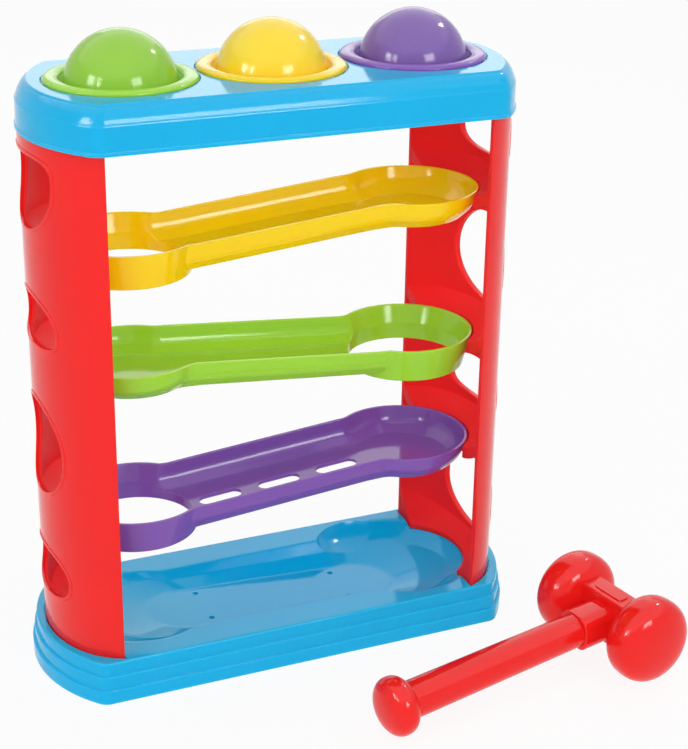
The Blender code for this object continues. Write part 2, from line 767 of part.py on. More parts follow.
def lug_slot(rim):
    """Slot in a shelf's inner edge that takes a ramp's lug."""
    middle = rim - SHELF_THICKNESS / 2
    near = STATION + SHELF_RADIUS - OVERRUN
    far = STATION + SHELF_RADIUS + LUG_REACH + SEAT_GAP
    corners = rectangle((far - near) / 2, LUG_WIDTH / 2 + SEAT_GAP)
    half_height = LUG_THICKNESS / 2 + SEAT_GAP
    item = prism("slot", corners, middle - half_height, middle + half_height)
    return shift(item, ((far + near) / 2, 0.0, 0.0))


def base(name, material):
    """Stepped tray that stands on the floor, with a sloping dished floor for the last roll."""
    item = loft(name, base_rings())
    cut(item, tray_cutter())
    for side in (-1, 1):
        cut_foot_seat(item, side)
        for side_y in (-1, 1):
            cut(item, middle_pocket(side, side_y))
            cut(item, end_pocket(side, side_y))
    boss = BASE_BOSS_DIAMETER / 2
    join(item, turned_solid("boss", [(boss, 0.0), (boss, TRAY_FLOOR_HEIGHT - BURY)], BOSS_SEGMENTS))
    radius = TRAY_HOLE_DIAMETER / 2
    for side_x in (-1, 1):
        for side_y in (-1, 1):
            place = (side_x * TRAY_HOLE_SPACING_X / 2, side_y * TRAY_HOLE_SPACING_Y / 2, 0.0)
            profile = [(radius, -OVERRUN), (radius, BASE_HEIGHT + OVERRUN)]
            cut(item, shift(turned_solid("hole", profile, HOLE_SEGMENTS), place))
    return finish(item, material)


def base_rings():
    """Outlines of the base's tiers from the floor up, each with a bevelled top edge."""
    rings = []
    for rank, share in enumerate(BASE_TIER_SHARES):
        inset = rank * BASE_STEP_INSET
        low = share * BASE_HEIGHT
        high = (share + 1 / len(BASE_TIER_SHARES)) * BASE_HEIGHT
        levels = ((low, 0.0), (high - BASE_EDGE_BEVEL, 0.0), (high, BASE_EDGE_BEVEL))
        rings += [base_ring(inset + extra, height) for height, extra in levels]
    return rings


def base_ring(inset, height):
    """One level of the base's outline."""
    outline = bowed_outline(BASE_HALF_DEPTH, BASE_APEX, BASE_BOW_RADIUS, BASE_CORNER_RADIUS, inset)
    return [(x, y, height) for x, y in outline]


def cut_foot_seat(item, side):
    """Cut the recess for a side panel's foot and the groove for its tongue."""
    recess_floor = BASE_HEIGHT - FOOT_RECESS_DEPTH
    foot = ring_sector(-SEAT_GAP, SHELF_RADIUS - SEAT_GAP, PANEL_FACE_X - SEAT_GAP)
    groove = tongue_outline(SEAT_GAP)
    for outline, low in ((foot, recess_floor), (groove, recess_floor - TONGUE_HEIGHT)):
        tool = prism("recess", outline, low, BASE_HEIGHT + OVERRUN)
        if side < 0:
            tool.data.transform(Matrix.Rotation(math.pi, 4, "Z"))
        cut(item, tool)


def tray_floor(x):
    """Height of the landing tray's floor, which falls to the right."""
    along = max(-1.0, min(1.0, x / STATION))
    return TRAY_FLOOR_HEIGHT - along * TRAY_FALL / 2


def tray_cutter():
    """Dished hollow of the landing tray, from its rim down to its sloping floor."""
    rows = []
    for travel, depth_share in TRAY_SECTION_SHARES:
        station = STATION + travel * (TRAY_FLOOR_STATION - STATION)
        radius = TRAY_END_RADIUS + travel * (TRAY_FLOOR_RADIUS - TRAY_END_RADIUS)
        neck = TRAY_NECK_HALF_WIDTH + travel * (TRAY_FLOOR_HALF_WIDTH - TRAY_NECK_HALF_WIDTH)
        outline = dumbbell(station, radius, radius, neck, TRAY_NECK_BLEND_RADIUS)
        row = []
        for x, y in outline:
            depth = depth_share * (BASE_HEIGHT - tray_floor(x))
            row.append((x, y, BASE_HEIGHT - depth))
        rows.append(row)
    rows.insert(0, [(x, y, z + OVERRUN) for x, y, z in rows[0]])
    return strip_loft("tray", rows)


def middle_pocket(side_x, side_y):
    """Hollow under half of the trough and beside it, with a roof that follows the tray."""
    near_y = RIB_THICKNESS / 2
    far_y = BASE_HALF_DEPTH - BASE_TOP_INSET - BASE_WALL
    trough_y = TRAY_NECK_HALF_WIDTH + BASE_WALL
    roof = BASE_HEIGHT - BASE_WALL
    rings = []
    for x in (RIB_THICKNESS / 2, BASE_POCKET_END):
        floor = tray_floor(side_x * x) - BASE_WALL
        section = [(near_y, -OVERRUN), (far_y, -OVERRUN), (far_y, roof)]
        section += [(trough_y, roof), (TRAY_FLOOR_HALF_WIDTH, floor), (near_y, floor)]
        rings.append([(side_x * x, side_y * y, z) for y, z in section])
    return loft("pocket", rings)


def end_pocket(side_x, side_y):
    """Hollow under a quarter of the base's ends, below the tray's bowl and the panel's groove."""
    near_y = RIB_THICKNESS / 2
    near_x = BASE_POCKET_END + RIB_THICKNESS
    inset = BASE_TOP_INSET + BASE_WALL
    quarter = bowed_quarter(BASE_HALF_DEPTH, BASE_APEX, BASE_BOW_RADIUS, BASE_CORNER_RADIUS, inset)
    outline = [(near_x, near_y), (quarter[0][0], near_y)]
    outline += [point for point in quarter if point[1] > near_y]
    outline.append((near_x, BASE_HALF_DEPTH - inset))
    groove = BASE_HEIGHT - FOOT_RECESS_DEPTH - TONGUE_HEIGHT
    roof = min(tray_floor(side_x * STATION), groove) - BASE_WALL
    return prism("pocket", [(side_x * x, side_y * y) for x, y in outline], -OVERRUN, roof)


def deck_ring(inset, height):
    """One level of the deck's outline."""
    outline = bowed_outline(DECK_HALF_DEPTH, DECK_APEX, DECK_BOW_RADIUS, DECK_CORNER_RADIUS, inset)
    return [(x, y, height) for x, y in outline]


def top_deck(name, material):
    """Cover with a lip, a raised band, rounded top edges and three seats for the collars."""
    band = DECK_BOTTOM + DECK_BAND_HEIGHT
    edge_inset = DECK_LIP_INSET + DECK_BAND_INSET
    levels = [
        (0.0, DECK_BOTTOM),
        (DECK_LIP_INSET, DECK_BOTTOM + DECK_LIP_HEIGHT),
        (DECK_LIP_INSET, band),
        (edge_inset, band + DECK_BAND_BEVEL),
    ]
    for step in range(DECK_EDGE_STEPS + 1):
        angle = math.pi / 2 * step / DECK_EDGE_STEPS
        inset = edge_inset + DECK_EDGE_RADIUS * (1 - math.cos(angle))
        levels.append((inset, DECK_TOP - DECK_EDGE_RADIUS * (1 - math.sin(angle))))
    item = loft(name, [deck_ring(inset, height) for inset, height in levels])
    hollow_inset = edge_inset + DECK_WALL
    roof = DECK_TOP - DECK_RECESS_DEPTH - DECK_WALL
    hollow_levels = (DECK_BOTTOM - OVERRUN, roof)
    cut(item, loft("hollow", [deck_ring(hollow_inset, height) for height in hollow_levels]))
    for tool in deck_ribs(hollow_inset, roof):
        join(item, tool)
    seat = COLLAR_RADIUS + DECK_RECESS_MARGIN
    for station_x in (-STATION, 0.0, STATION):
        recess = [(seat, DECK_TOP - DECK_RECESS_DEPTH), (seat, DECK_TOP + OVERRUN)]
        hole = COLLAR_NECK_RADIUS + SEAT_GAP
        bore = [(hole, roof - OVERRUN), (hole, DECK_TOP + OVERRUN)]
        for profile in (recess, bore):
            cut(item, shift(turned_solid("seat", profile), (station_x, 0.0, 0.0)))
    return finish(item, material)


def deck_ribs(hollow_inset, roof):
    """Short ribs under the deck that bear on the flat tips of the side panels' tongues."""
    ribs = []
    near = PANEL_FACE_X + TONGUE_INSET - SEAT_GAP
    outer_y = DECK_HALF_DEPTH - hollow_inset + BURY
    inner_y = COLLAR_NECK_RADIUS + COLLAR_SNAP_DEPTH + DECK_WALL
    corners = rectangle(RIB_THICKNESS / 2, (outer_y - inner_y) / 2)
    for side_x in (-1, 1):
        for side_y in (-1, 1):
            rib = prism("rib", corners, roof - DECK_RIB_DROP, roof + BURY)
            place = (side_x * (near - RIB_THICKNESS / 2), side_y * (outer_y + inner_y) / 2, 0.0)
            ribs.append(shift(rib, place))
    return ribs


def drum_profile(radius, length, steps):
    """Half profile of a drum, between a cylinder and an egg, along its own axis."""
    profile = []
    for step in range(1, steps):
        angle = math.pi * step / steps
        rise = math.copysign(abs(math.cos(angle)) ** DRUM_POWER, -math.cos(angle))
        profile.append((radius * math.sin(angle) ** DRUM_POWER, length / 2 * rise))
    tip = profile[0][0] / 2
    return [(tip, -length / 2), *profile, (tip, length / 2)]


def squircle(width, height, corner):
    """Rounded rectangle about the origin."""
    x, y = width / 2 - corner, height / 2 - corner
    points = []
    for quarter, centre in enumerate(((x, y), (-x, y), (-x, -y), (x, -y))):
        start = quarter * math.pi / 2
        points += arc(centre, corner, start, start + math.pi / 2, CORNER_SEGMENTS)
    return points


def hammer_axes():
    """Directions of the lying hammer: along its handle, along its head and up from its waist."""
    heading = math.radians(HAMMER_HEADING_DEGREES)
    drop = (DRUM_DIAMETER - KNOB_DIAMETER) / 2
    run = math.sqrt(HANDLE_LENGTH**2 - drop**2)
    along = Vector((run * math.cos(heading), run * math.sin(heading), -drop)).normalized()
    cross = Vector((-math.sin(heading), math.cos(heading), 0.0))
    return along, cross, along.cross(cross)


def lay_down(item, axes, material):
    """Turn a piece's X, Y and Z onto the given directions, move it to the head and finish it."""
    head = Vector((HAMMER_CENTRE_X, HAMMER_CENTRE_Y, DRUM_DIAMETER / 2))
    turn = Matrix(axes).transposed().to_4x4()
    item.data.transform(Matrix.Translation(head) @ turn)
    return finish(item, material, pivot=head)


def along_handle(item):
    """Turn a piece that stands along Z so that it points along the head's Y, as the handle does."""
    item.data.transform(Matrix.Rotation(-math.pi / 2, 4, "X"))
    return item


def hammer_head(name, material):
    """Two hollow drums on a narrow upright waist, with a socket for the handle."""
    drum = drum_profile(DRUM_DIAMETER / 2, DRUM_LENGTH, DRUM_STEPS)
    item = shift(turned_solid(name, drum), (0.0, 0.0, DRUM_SPACING / 2))
    section = squircle(WAIST_HEIGHT, WAIST_WIDTH, WAIST_CORNER_RADIUS)
    waist = prism("waist", section, -DRUM_SPACING / 2, DRUM_SPACING / 2)
    join(waist, shift(turned_solid("drum", drum), (0.0, 0.0, -DRUM_SPACING / 2)))
    join(item, waist)
    pad_outline = squircle(PAD_LENGTH, PAD_WIDTH, PAD_CORNER_RADIUS)
    pad = prism("pad", pad_outline, 0.0, WAIST_HEIGHT / 2 + PAD_RISE)
    pad.data.transform(Matrix.Rotation(math.pi / 2, 4, "Y"))
    join(item, pad)
    socket_outline = squircle(SOCKET_SIZE, SOCKET_SIZE, SOCKET_CORNER_RADIUS)
    join(item, along_handle(prism("socket", socket_outline, 0.0, SOCKET_REACH)))
    cut(item, hammer_cavity())
    radius = HANDLE_PLUG_DIAMETER / 2 + SEAT_GAP
    bore = [(radius, SOCKET_REACH - HANDLE_PLUG_LENGTH), (radius, SOCKET_REACH + OVERRUN)]
    cut(item, along_handle(turned_solid("bore", bore)))
    passage = [(HANDLE_BORE_DIAMETER / 2, height) for height in (0.0, SOCKET_REACH)]
    cut(item, along_handle(turned_solid("passage", passage, BORE_SEGMENTS)))
    along, cross, up = hammer_axes()
    return lay_down(item, (up, along, cross), material)


def hammer_cavity():
    """Inside of the head: two drum hollows and the tunnel through the waist between them."""
    radius = DRUM_DIAMETER / 2 - HEAD_WALL
    inner = drum_profile(radius, DRUM_LENGTH - 2 * HEAD_WALL, CAVITY_STEPS)
    cavity = shift(turned_solid("cavity", inner), (0.0, 0.0, DRUM_SPACING / 2))
    sides = [size - 2 * HEAD_WALL for size in (WAIST_HEIGHT, WAIST_WIDTH)]
    outline = squircle(*sides, WAIST_CORNER_RADIUS)
    tunnel = prism("tunnel", outline, -DRUM_SPACING / 2, DRUM_SPACING / 2)
    join(tunnel, shift(turned_solid("other", inner), (0.0, 0.0, -DRUM_SPACING / 2)))
    join(cavity, tunnel)
    return cavity


def hammer_handle(name, material):
    """Round bar with a rounded knob, bored from the end that plugs into the head."""
    plug_start = SOCKET_REACH - HANDLE_PLUG_LENGTH + SEAT_GAP
    shoulder = SOCKET_REACH + SEAT_GAP
    neck = HANDLE_LENGTH - KNOB_LENGTH / 2
    profile = [
        (HANDLE_PLUG_DIAMETER / 2, plug_start),
        (HANDLE_PLUG_DIAMETER / 2, shoulder),
        (HANDLE_DIAMETER / 2, shoulder),
        (HANDLE_DIAMETER / 2, neck),
    ]
    for step in range(1, KNOB_STEPS):
        angle = math.pi * step / KNOB_STEPS
        reach = KNOB_DIAMETER / 2 * math.sin(angle) ** KNOB_POWER
        profile.append((reach, HANDLE_LENGTH - KNOB_LENGTH / 2 * math.cos(angle)))
    profile.append((profile[-1][0] / 2, HANDLE_LENGTH + KNOB_LENGTH / 2))
    item = turned_solid(name, profile)
    bore = HANDLE_BORE_DIAMETER / 2
    cut(item, turned_solid("bore", [(bore, plug_start - OVERRUN), (bore, neck)], BORE_SEGMENTS))
    along, cross, up = hammer_axes()
    return lay_down(item, (-up, cross, along), material)


def build():
    """Make every piece of the bench."""
    clear_scene()
    red = plastic(*RED)
    blue = plastic(*BLUE)
    yellow = plastic(*YELLOW)
    green = plastic(*GREEN)
    purple = plastic(*PURPLE)
    base("base", blue)
    side_panel("left_side_panel", -1, red)
    side_panel("right_side_panel", 1, red)
    top_deck("top_deck", blue)
    places = (("left", -STATION, green), ("centre", 0.0, yellow), ("right", STATION, purple))
    for place, station_x, material in places:
        collar("collar_" + place, station_x, material)
        ball("ball_" + place, station_x, material)
    ramps = (("ramp_bottom", purple), ("ramp_middle", green), ("ramp_top", yellow))
    for level, (name, material) in enumerate(ramps):
        item = ramp(name, level, HOLE_SIDES[level], material)
        if level == 0:
            cut_drain_slots(item, level, HOLE_SIDES[level])
    hammer_head("hammer_head", red)
    hammer_handle("hammer_handle", red)


build()
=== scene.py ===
# %% [markdown]
# A pounding bench is a toy tower. Three balls sit in springy collars on a deck.
# A child hammers a ball through its collar, and it rolls down three sloping ramps into a tray.
# Everything is injection-moulded plastic, so every wall is thin and every edge is slightly round.
# This lesson dresses a fixed frame: the solids that were made to work are loaded first,
# and each of them is then replaced by a smoother piece of the same size in the same place.

# %% Load the frame
import math

import bmesh
import bpy
import numpy as np
from mathutils import Matrix, Vector


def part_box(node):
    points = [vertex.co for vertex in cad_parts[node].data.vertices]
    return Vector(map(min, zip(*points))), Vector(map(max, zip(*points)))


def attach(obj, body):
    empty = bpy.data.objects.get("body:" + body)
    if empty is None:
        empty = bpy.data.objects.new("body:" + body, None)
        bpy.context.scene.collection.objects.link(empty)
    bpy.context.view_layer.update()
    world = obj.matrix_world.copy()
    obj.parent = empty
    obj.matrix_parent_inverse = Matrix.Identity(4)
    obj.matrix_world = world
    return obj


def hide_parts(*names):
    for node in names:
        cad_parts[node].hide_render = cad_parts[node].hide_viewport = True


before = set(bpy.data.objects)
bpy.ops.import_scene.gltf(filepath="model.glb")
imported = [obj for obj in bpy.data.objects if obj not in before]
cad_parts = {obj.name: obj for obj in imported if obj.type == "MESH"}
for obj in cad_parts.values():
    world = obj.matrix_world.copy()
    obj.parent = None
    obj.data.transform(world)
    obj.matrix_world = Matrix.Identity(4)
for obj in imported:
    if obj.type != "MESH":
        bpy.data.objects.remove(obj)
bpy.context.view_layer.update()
print("frame nodes:", len(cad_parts))

# %% [markdown]
# The main sizes can be read from the frame, so that the looks follow the solids.
# A node's box gives the ball's radius, the height of a rim or the depth of the deck.

# %% Sizes read from the frame
ball_low, ball_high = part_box("ball_right")
BALL_RADIUS = (ball_high.x - ball_low.x) / 2
STATION = (ball_high.x + ball_low.x) / 2
BALL_CENTRE = (ball_high.z + ball_low.z) / 2
deck_low, deck_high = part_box("top_deck")
base_low, base_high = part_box("base")
DECK_BOTTOM, DECK_TOP = deck_low.z, deck_high.z
BASE_TOP = base_high.z
print("balls", round(BALL_RADIUS * 2, 4), "apart", round(STATION, 4), "deck at", round(DECK_BOTTOM, 4))

# %% [markdown]
# The rest are walls, gaps and fillets, which no box shows. They are named once here, in metres,
# and so are the finest count of segments and the signs that stand for the sides and quarters.
# A cutter runs past the face that it cuts, a joined piece is buried a little in its neighbour,
# and a hair's breadth keeps two faces from lying in one plane.

# %% Walls, gaps and fillets
SEAT_GAP = 0.0003
OVERRUN = 0.0040
BURY = 0.0005
HAIR = 1e-5
MERGE_DISTANCE = 1e-6
RAMP_WALL = 0.0019
RING_HEIGHT = 0.0200
TROUGH_HEIGHT = 0.0160
TROUGH_HALF_WIDTH = 0.0310
TROUGH_FLOOR_HALF_WIDTH = 0.0240
DISH_FLOOR_RADIUS = 0.0305
NECK_BLEND_RADIUS = 0.0140
HOLE_RADIUS = BALL_RADIUS + 0.0026
LIP_ROUNDING = 0.0006
FINE_SEGMENTS = 128
SIDES = (-1, 1)
QUARTERS = [(side_x, side_y) for side_x in SIDES for side_y in SIDES]

# %% [markdown]
# Nearly every piece is a stack of outlines with faces between them, which is called a loft.
# The two ends of the stack are closed, so that each piece is a solid and its normals can be set.

# %% Lofts
def mesh_object(name, points, faces):
    """A closed mesh as an object, with its faces turned outwards."""
    mesh = bpy.data.meshes.new(name)
    mesh.from_pydata([tuple(point) for point in points], [], faces)
    shape = bmesh.new()
    shape.from_mesh(mesh)
    bmesh.ops.recalc_face_normals(shape, faces=shape.faces)
    shape.to_mesh(mesh)
    shape.free()
    item = bpy.data.objects.new(name, mesh)
    bpy.context.scene.collection.objects.link(item)
    return item


def skin(rows, looped=False):
    """Faces between rows of equally many points, where each row is a closed loop."""
    count = len(rows[0])
    faces = []
    for level in range(len(rows) if looped else len(rows) - 1):
        low, high = level * count, (level + 1) % len(rows) * count
        for i in range(count):
            j = (i + 1) % count
            faces.append((low + i, low + j, high + j, high + i))
    return faces


def loft(name, rows):
    """Solid through rows of points with a flat cap at each end."""
    count = len(rows[0])
    points = [point for row in rows for point in row]
    caps = [tuple(range(count)), tuple(range(len(points) - count, len(points)))]
    return mesh_object(name, points, skin(rows) + caps)


def strip_loft(name, rows):
    """Solid through rows that mirror about Y = 0, capped by strips, so that a cap may bend along X."""
    count = len(rows[0])
    points = [point for row in rows for point in row]
    faces = skin(rows)
    pairs = [(i, (count - i) % count) for i in range(count // 2 + 1)]
    for start in (0, len(points) - count):
        for (a, b), (c, d) in zip(pairs, pairs[1:]):
            faces.append(tuple(start + i for i in dict.fromkeys((a, c, d, b))))
    return mesh_object(name, points, faces)


def arc(centre, radius, start, end, steps):
    """Points along an arc, both ends included."""
    turns = [start + (end - start) * step / steps for step in range(steps + 1)]
    return [(centre[0] + radius * math.cos(turn), centre[1] + radius * math.sin(turn)) for turn in turns]


def prism(name, outline, low, high):
    """Solid between two heights over an outline in plan."""
    return loft(name, [[(x, y, z) for x, y in outline] for z in (low, high)])


def turned(name, profile, segments=96):
    """Solid turned about Z from an open profile of (radius, height)."""
    rows = []
    for radius, height in profile:
        rows.append([(x, y, height) for x, y in arc((0, 0), radius, 0, math.tau, segments)[:-1]])
    return loft(name, rows)


def turned_ring(name, profile, segments=96):
    """Ring turned about Z from a closed profile that stays off the axis."""
    rows = []
    for step in range(segments):
        cosine, sine = math.cos(math.tau * step / segments), math.sin(math.tau * step / segments)
        rows.append([(radius * cosine, radius * sine, height) for radius, height in profile])
    points = [point for row in rows for point in row]
    return mesh_object(name, points, skin(rows, looped=True))


# %% [markdown]
# Moulded plastic has no knife edges. Corners in a profile are rounded before it is lofted,
# which costs little and catches a line of light, as the real edges do.

# %% Rounded corners
LONGEST_EASING_SHARE = 0.45


def bend(start, corner, end, steps):
    """Points along the curve that leaves one point towards a corner and arrives at another from it."""
    start, corner, end = Vector(start), Vector(corner), Vector(end)
    shares = [step / steps for step in range(steps + 1)]
    return [tuple(start * (1 - t) ** 2 + corner * 2 * t * (1 - t) + end * t * t) for t in shares]


def rounded(points, radii, steps=4, closed=False):
    """Path whose corners are eased by about the given radius each."""
    count = len(points)
    path = []
    for i, (point, radius) in enumerate(zip(points, radii)):
        if radius == 0 or (not closed and i in (0, count - 1)):
            path.append(tuple(point))
            continue
        here = Vector(point)
        before = Vector(points[i - 1]) - here
        after = Vector(points[(i + 1) % count]) - here
        half = before.angle(after) / 2
        longest = LONGEST_EASING_SHARE * min(before.length, after.length)
        reach = min(radius / math.tan(half), longest)
        path += bend(here + before.normalized() * reach, here, here + after.normalized() * reach, steps)
    return path


def moved(item, offset):
    """The object with its mesh moved."""
    item.data.transform(Matrix.Translation(Vector(offset)))
    return item


def turned_mesh(item, degrees, axis):
    """The object with its mesh turned about an axis through the origin."""
    item.data.transform(Matrix.Rotation(math.radians(degrees), 4, axis))
    return item


# %% [markdown]
# Holes and joints come from exact Booleans. A modifier does the work,
# and its result is kept as a plain mesh.

# %% Booleans, bevels and shading
def settled(item):
    """The object with its modifiers turned into a plain mesh."""
    bpy.context.view_layer.update()
    graph = bpy.context.evaluated_depsgraph_get()
    mesh = bpy.data.meshes.new_from_object(item.evaluated_get(graph))
    item.modifiers.clear()
    item.data = mesh
    return item


def combine(item, tool, operation):
    """Cut, join or clip one object with another, which is then dropped."""
    change = item.modifiers.new(operation, "BOOLEAN")
    change.operation = operation
    change.solver = "EXACT"
    change.object = tool
    settled(item)
    bpy.data.objects.remove(tool)
    return item


def cut(item, *tools):
    """The object with each tool's shape taken away."""
    for tool in tools:
        combine(item, tool, "DIFFERENCE")
    return item


def join(item, *tools):
    """The object with each tool's shape added."""
    for tool in tools:
        combine(item, tool, "UNION")
    return item


def ease_edges(item, width, wanted, segments=3, least_degrees=40, outer_only=False):
    """Round off the edges whose two ends pass a test and whose faces meet at an angle."""
    shape = bmesh.new()
    shape.from_mesh(item.data)
    bmesh.ops.remove_doubles(shape, verts=shape.verts, dist=MERGE_DISTANCE)
    bmesh.ops.dissolve_degenerate(shape, edges=shape.edges, dist=MERGE_DISTANCE)
    weight = shape.edges.layers.float.new("bevel_weight_edge")
    chosen = 0
    for edge in shape.edges:
        if len(edge.link_faces) != 2 or edge.calc_face_angle(0) < math.radians(least_degrees):
            continue
        if outer_only and not edge.is_convex:
            continue
        if all(wanted(vert.co) for vert in edge.verts):
            edge[weight] = 1.0
            chosen += 1
    shape.to_mesh(item.data)
    shape.free()
    bevel = item.modifiers.new("rounding", "BEVEL")
    bevel.limit_method = "WEIGHT"
    bevel.width = width
    bevel.segments = segments
    bevel.use_clamp_overlap = False
    settled(item)
    print(item.name, "eased edges:", chosen)
    return item


def shaded(item, degrees=32):
    """Smooth shading that stays crisp at real edges, and in which large faces lead small ones."""
    item.data.shade_smooth()
    item.data.set_sharp_from_angle(angle=math.radians(degrees))
    weighted = item.modifiers.new("weighted normals", "WEIGHTED_NORMAL")
    weighted.keep_sharp = True
    return settled(item)


# %% [markdown]
# Toy plastic is glossy but not perfect. Its skin has a faint orange-peel ripple and a slightly uneven
# gloss, and a little light passes through it. One function gives all the colours the same skin,
# because they come from the same kind of mould.

# %% Glossy moulded plastic
# Scale and detail of each pattern, and the shares of the colour or the roughness that it varies between
CLOUDS, CLOUD_SHARES = (22.0, 3.0), (0.96, 1.04)
WEAR, WEAR_SHARES = (140.0, 4.0), (0.85, 1.25)
PEEL = (320.0, 1.0)
RIPPLE = {"Strength": 0.05, "Distance": 0.0004}
PLASTIC = {"IOR": 1.49, "Subsurface Weight": 0.6, "Subsurface Scale": 0.004}
# A mix node has sockets of the same name for each kind of data, so the colour's are taken by number
TINT_COLOURS, TINT_RESULT = (6, 7), 2


def wire(tree, *wires):
    """Link nodes, each wire given as source, output, target and input."""
    for source, out, target, into in wires:
        tree.links.new(source.outputs[out], target.inputs[into])


def set_inputs(node, values):
    """Set a node's inputs by their names."""
    for name, value in values.items():
        node.inputs[name].default_value = value


def pattern(tree, kind):
    """Noise of one scale and detail on Object coordinates."""
    noise = tree.nodes.new("ShaderNodeTexNoise")
    set_inputs(noise, dict(zip(("Scale", "Detail"), kind)))
    wire(tree, (tree.nodes.new("ShaderNodeTexCoord"), "Object", noise, "Vector"))
    return noise


def moulded_plastic(name, colour, gloss, shine=0.26, spread=(1.0, 0.8, 0.6)):
    """Material for one colour of plastic."""
    material = bpy.data.materials.new(name)
    material.use_nodes = True
    tree = material.node_tree
    shader, tint = tree.nodes["Principled BSDF"], tree.nodes.new("ShaderNodeMix")
    polish, ripple = tree.nodes.new("ShaderNodeMapRange"), tree.nodes.new("ShaderNodeBump")
    tint.data_type = "RGBA"
    for socket, part in zip(TINT_COLOURS, CLOUD_SHARES):
        tint.inputs[socket].default_value = (*[min(1.0, share * part) for share in colour], 1)
    set_inputs(polish, dict(zip(("To Min", "To Max"), (gloss * part for part in WEAR_SHARES))))
    set_inputs(ripple, RIPPLE)
    set_inputs(shader, {**PLASTIC, "Subsurface Radius": spread, "Specular IOR Level": shine})
    wire(
        tree,
        (pattern(tree, CLOUDS), "Fac", tint, 0),
        (tint, TINT_RESULT, shader, "Base Color"),
        (pattern(tree, WEAR), "Fac", polish, "Value"),
        (polish, "Result", shader, "Roughness"),
        (pattern(tree, PEEL), "Fac", ripple, "Height"),
        (ripple, "Normal", shader, "Normal"),
    )
    return material


# The inside red is lighter and bluer than the outer red. That is painted light, which lifts the shade
# inside the panels, while its duller, less shiny gloss is a real finish.
RED_DULL_PAINTED_LIGHTER_INSIDE = moulded_plastic("red plastic duller and painted lighter inside", (0.92, 0.022, 0.026), 0.45, shine=0.10)
RED = moulded_plastic("red moulded plastic", (0.82, 0.014, 0.012), 0.10)
BLUE = moulded_plastic("sky blue moulded plastic", (0.003, 0.44, 0.765), 0.09, shine=0.20)
YELLOW = moulded_plastic("yellow moulded plastic", (0.98, 0.65, 0.005), 0.10, spread=(1.0, 0.45, 0.10))
GREEN = moulded_plastic("green moulded plastic", (0.340, 0.660, 0.045), 0.10)
PURPLE = moulded_plastic("purple moulded plastic", (0.228, 0.100, 0.445), 0.10)
YELLOW_BALL = moulded_plastic("yellow blown plastic", (0.95, 0.68, 0.030), 0.12)
GREEN_BALL = moulded_plastic("green blown plastic", (0.30, 0.58, 0.050), 0.12)
PURPLE_BALL = moulded_plastic("purple blown plastic", (0.225, 0.125, 0.410), 0.12)
made = []


def open_edges(item):
    """How many edges don't lie between exactly two faces, which should be none."""
    shape = bmesh.new()
    shape.from_mesh(item.data)
    count = sum(len(edge.link_faces) != 2 for edge in shape.edges)
    shape.free()
    return count


def dress(item, material, node, body="bench"):
    """Give a finished piece its plastic, and put it in place of its node on a body."""
    item.data.materials.clear()
    item.data.materials.append(material)
    shaded(item)
    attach(item, body)
    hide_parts(node)
    item.data.calc_loop_triangles()
    print(item.name, len(item.data.loop_triangles), "triangles,", open_edges(item), "open edges")
    made.append(item)
    return item


# %% [markdown]
# ## The balls
# A toy ball is blown or moulded hollow, and it is the roundest thing here,
# so it is turned from a fine half circle. A hair-thin parting line runs round its middle,
# where the two halves of the mould met.

# %% Balls
PARTING_LINE = 0.00006
BALL_STEPS = 72
BALL_SEGMENTS = 112
BALL_POLE = BALL_RADIUS * 0.01


def ball(name, material, place_x, body):
    """Ball with a faint parting line, in place of its node."""
    profile = []
    for step in range(BALL_STEPS + 1):
        angle = math.pi * step / BALL_STEPS
        swell = PARTING_LINE if step == BALL_STEPS // 2 else 0.0
        profile.append(((BALL_RADIUS + swell) * math.sin(angle), -BALL_RADIUS * math.cos(angle)))
    profile[0], profile[-1] = (BALL_POLE, -BALL_RADIUS), (BALL_POLE, BALL_RADIUS)
    item = moved(turned(name, profile, BALL_SEGMENTS), (place_x, 0, BALL_CENTRE))
    return dress(item, material, name.replace("_shell", ""), body)


ball("ball_left_shell", GREEN_BALL, -STATION, "left_ball")
ball("ball_centre_shell", YELLOW_BALL, 0.0, "centre_ball")
ball("ball_right_shell", PURPLE_BALL, STATION, "right_ball")

# %% [markdown]
# ## The ramps
# Each ramp is a trough between two round ends. One end is a closed dish, where a ball lands,
# and the other is a ring with a hole, where it drops to the next level.
# Both ends are level, and only the trough between them slopes.
# The outline in plan is a dumbbell, and the side walls lean outwards so that the mould lets go.

# %% Dumbbell outlines
END_STEPS, BLEND_STEPS, STRAIGHT_STEPS = 34, 10, 6


def dumbbell_half(station, radius, neck, blend):
    """Right half of a dumbbell's upper side in plan: round end, hollow blend and half of the neck."""
    reach, rise = radius + blend, neck + blend
    run = math.sqrt(reach**2 - rise**2)
    turn = math.pi - math.atan2(rise, run)
    edge = station - run
    points = arc((station, 0.0), radius, 0.0, turn, END_STEPS)
    points += arc((edge, rise), blend, turn - math.pi, -math.pi / 2, BLEND_STEPS)[1:]
    return points + [(edge * (1 - step / STRAIGHT_STEPS), neck) for step in range(1, STRAIGHT_STEPS + 1)]


def dumbbell(station, left_radius, right_radius, neck, blend):
    """Closed dumbbell outline that mirrors about Y = 0."""
    right = dumbbell_half(station, right_radius, neck, blend)
    left = dumbbell_half(station, left_radius, neck, blend)
    outline = right + [(-x, y) for x, y in reversed(left[:-1])]
    outline += [(-x, -y) for x, y in left[1:]]
    return outline + [(x, -y) for x, y in reversed(right[1:-1])]


# %% [markdown]
# The rim's height is a rule: level round each end, and falling evenly between them.
# The trough's wall has a fold about two thirds of the way down, which shows as a bright line.
# The ring flares in the upper half of its inside, and leans a little below that.

# %% Ramp bodies
RING_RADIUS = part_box("ramp_top")[1].y
RING_FOOT_RADIUS = HOLE_RADIUS + RAMP_WALL
BLEND_REACH, BLEND_RISE = RING_RADIUS + NECK_BLEND_RADIUS, TROUGH_HALF_WIDTH + NECK_BLEND_RADIUS
SLOPE_END = STATION - math.sqrt(BLEND_REACH**2 - BLEND_RISE**2)
BORE_FLARE, BORE_LEAN, BORE_STEPS = 0.40, 0.08, 24
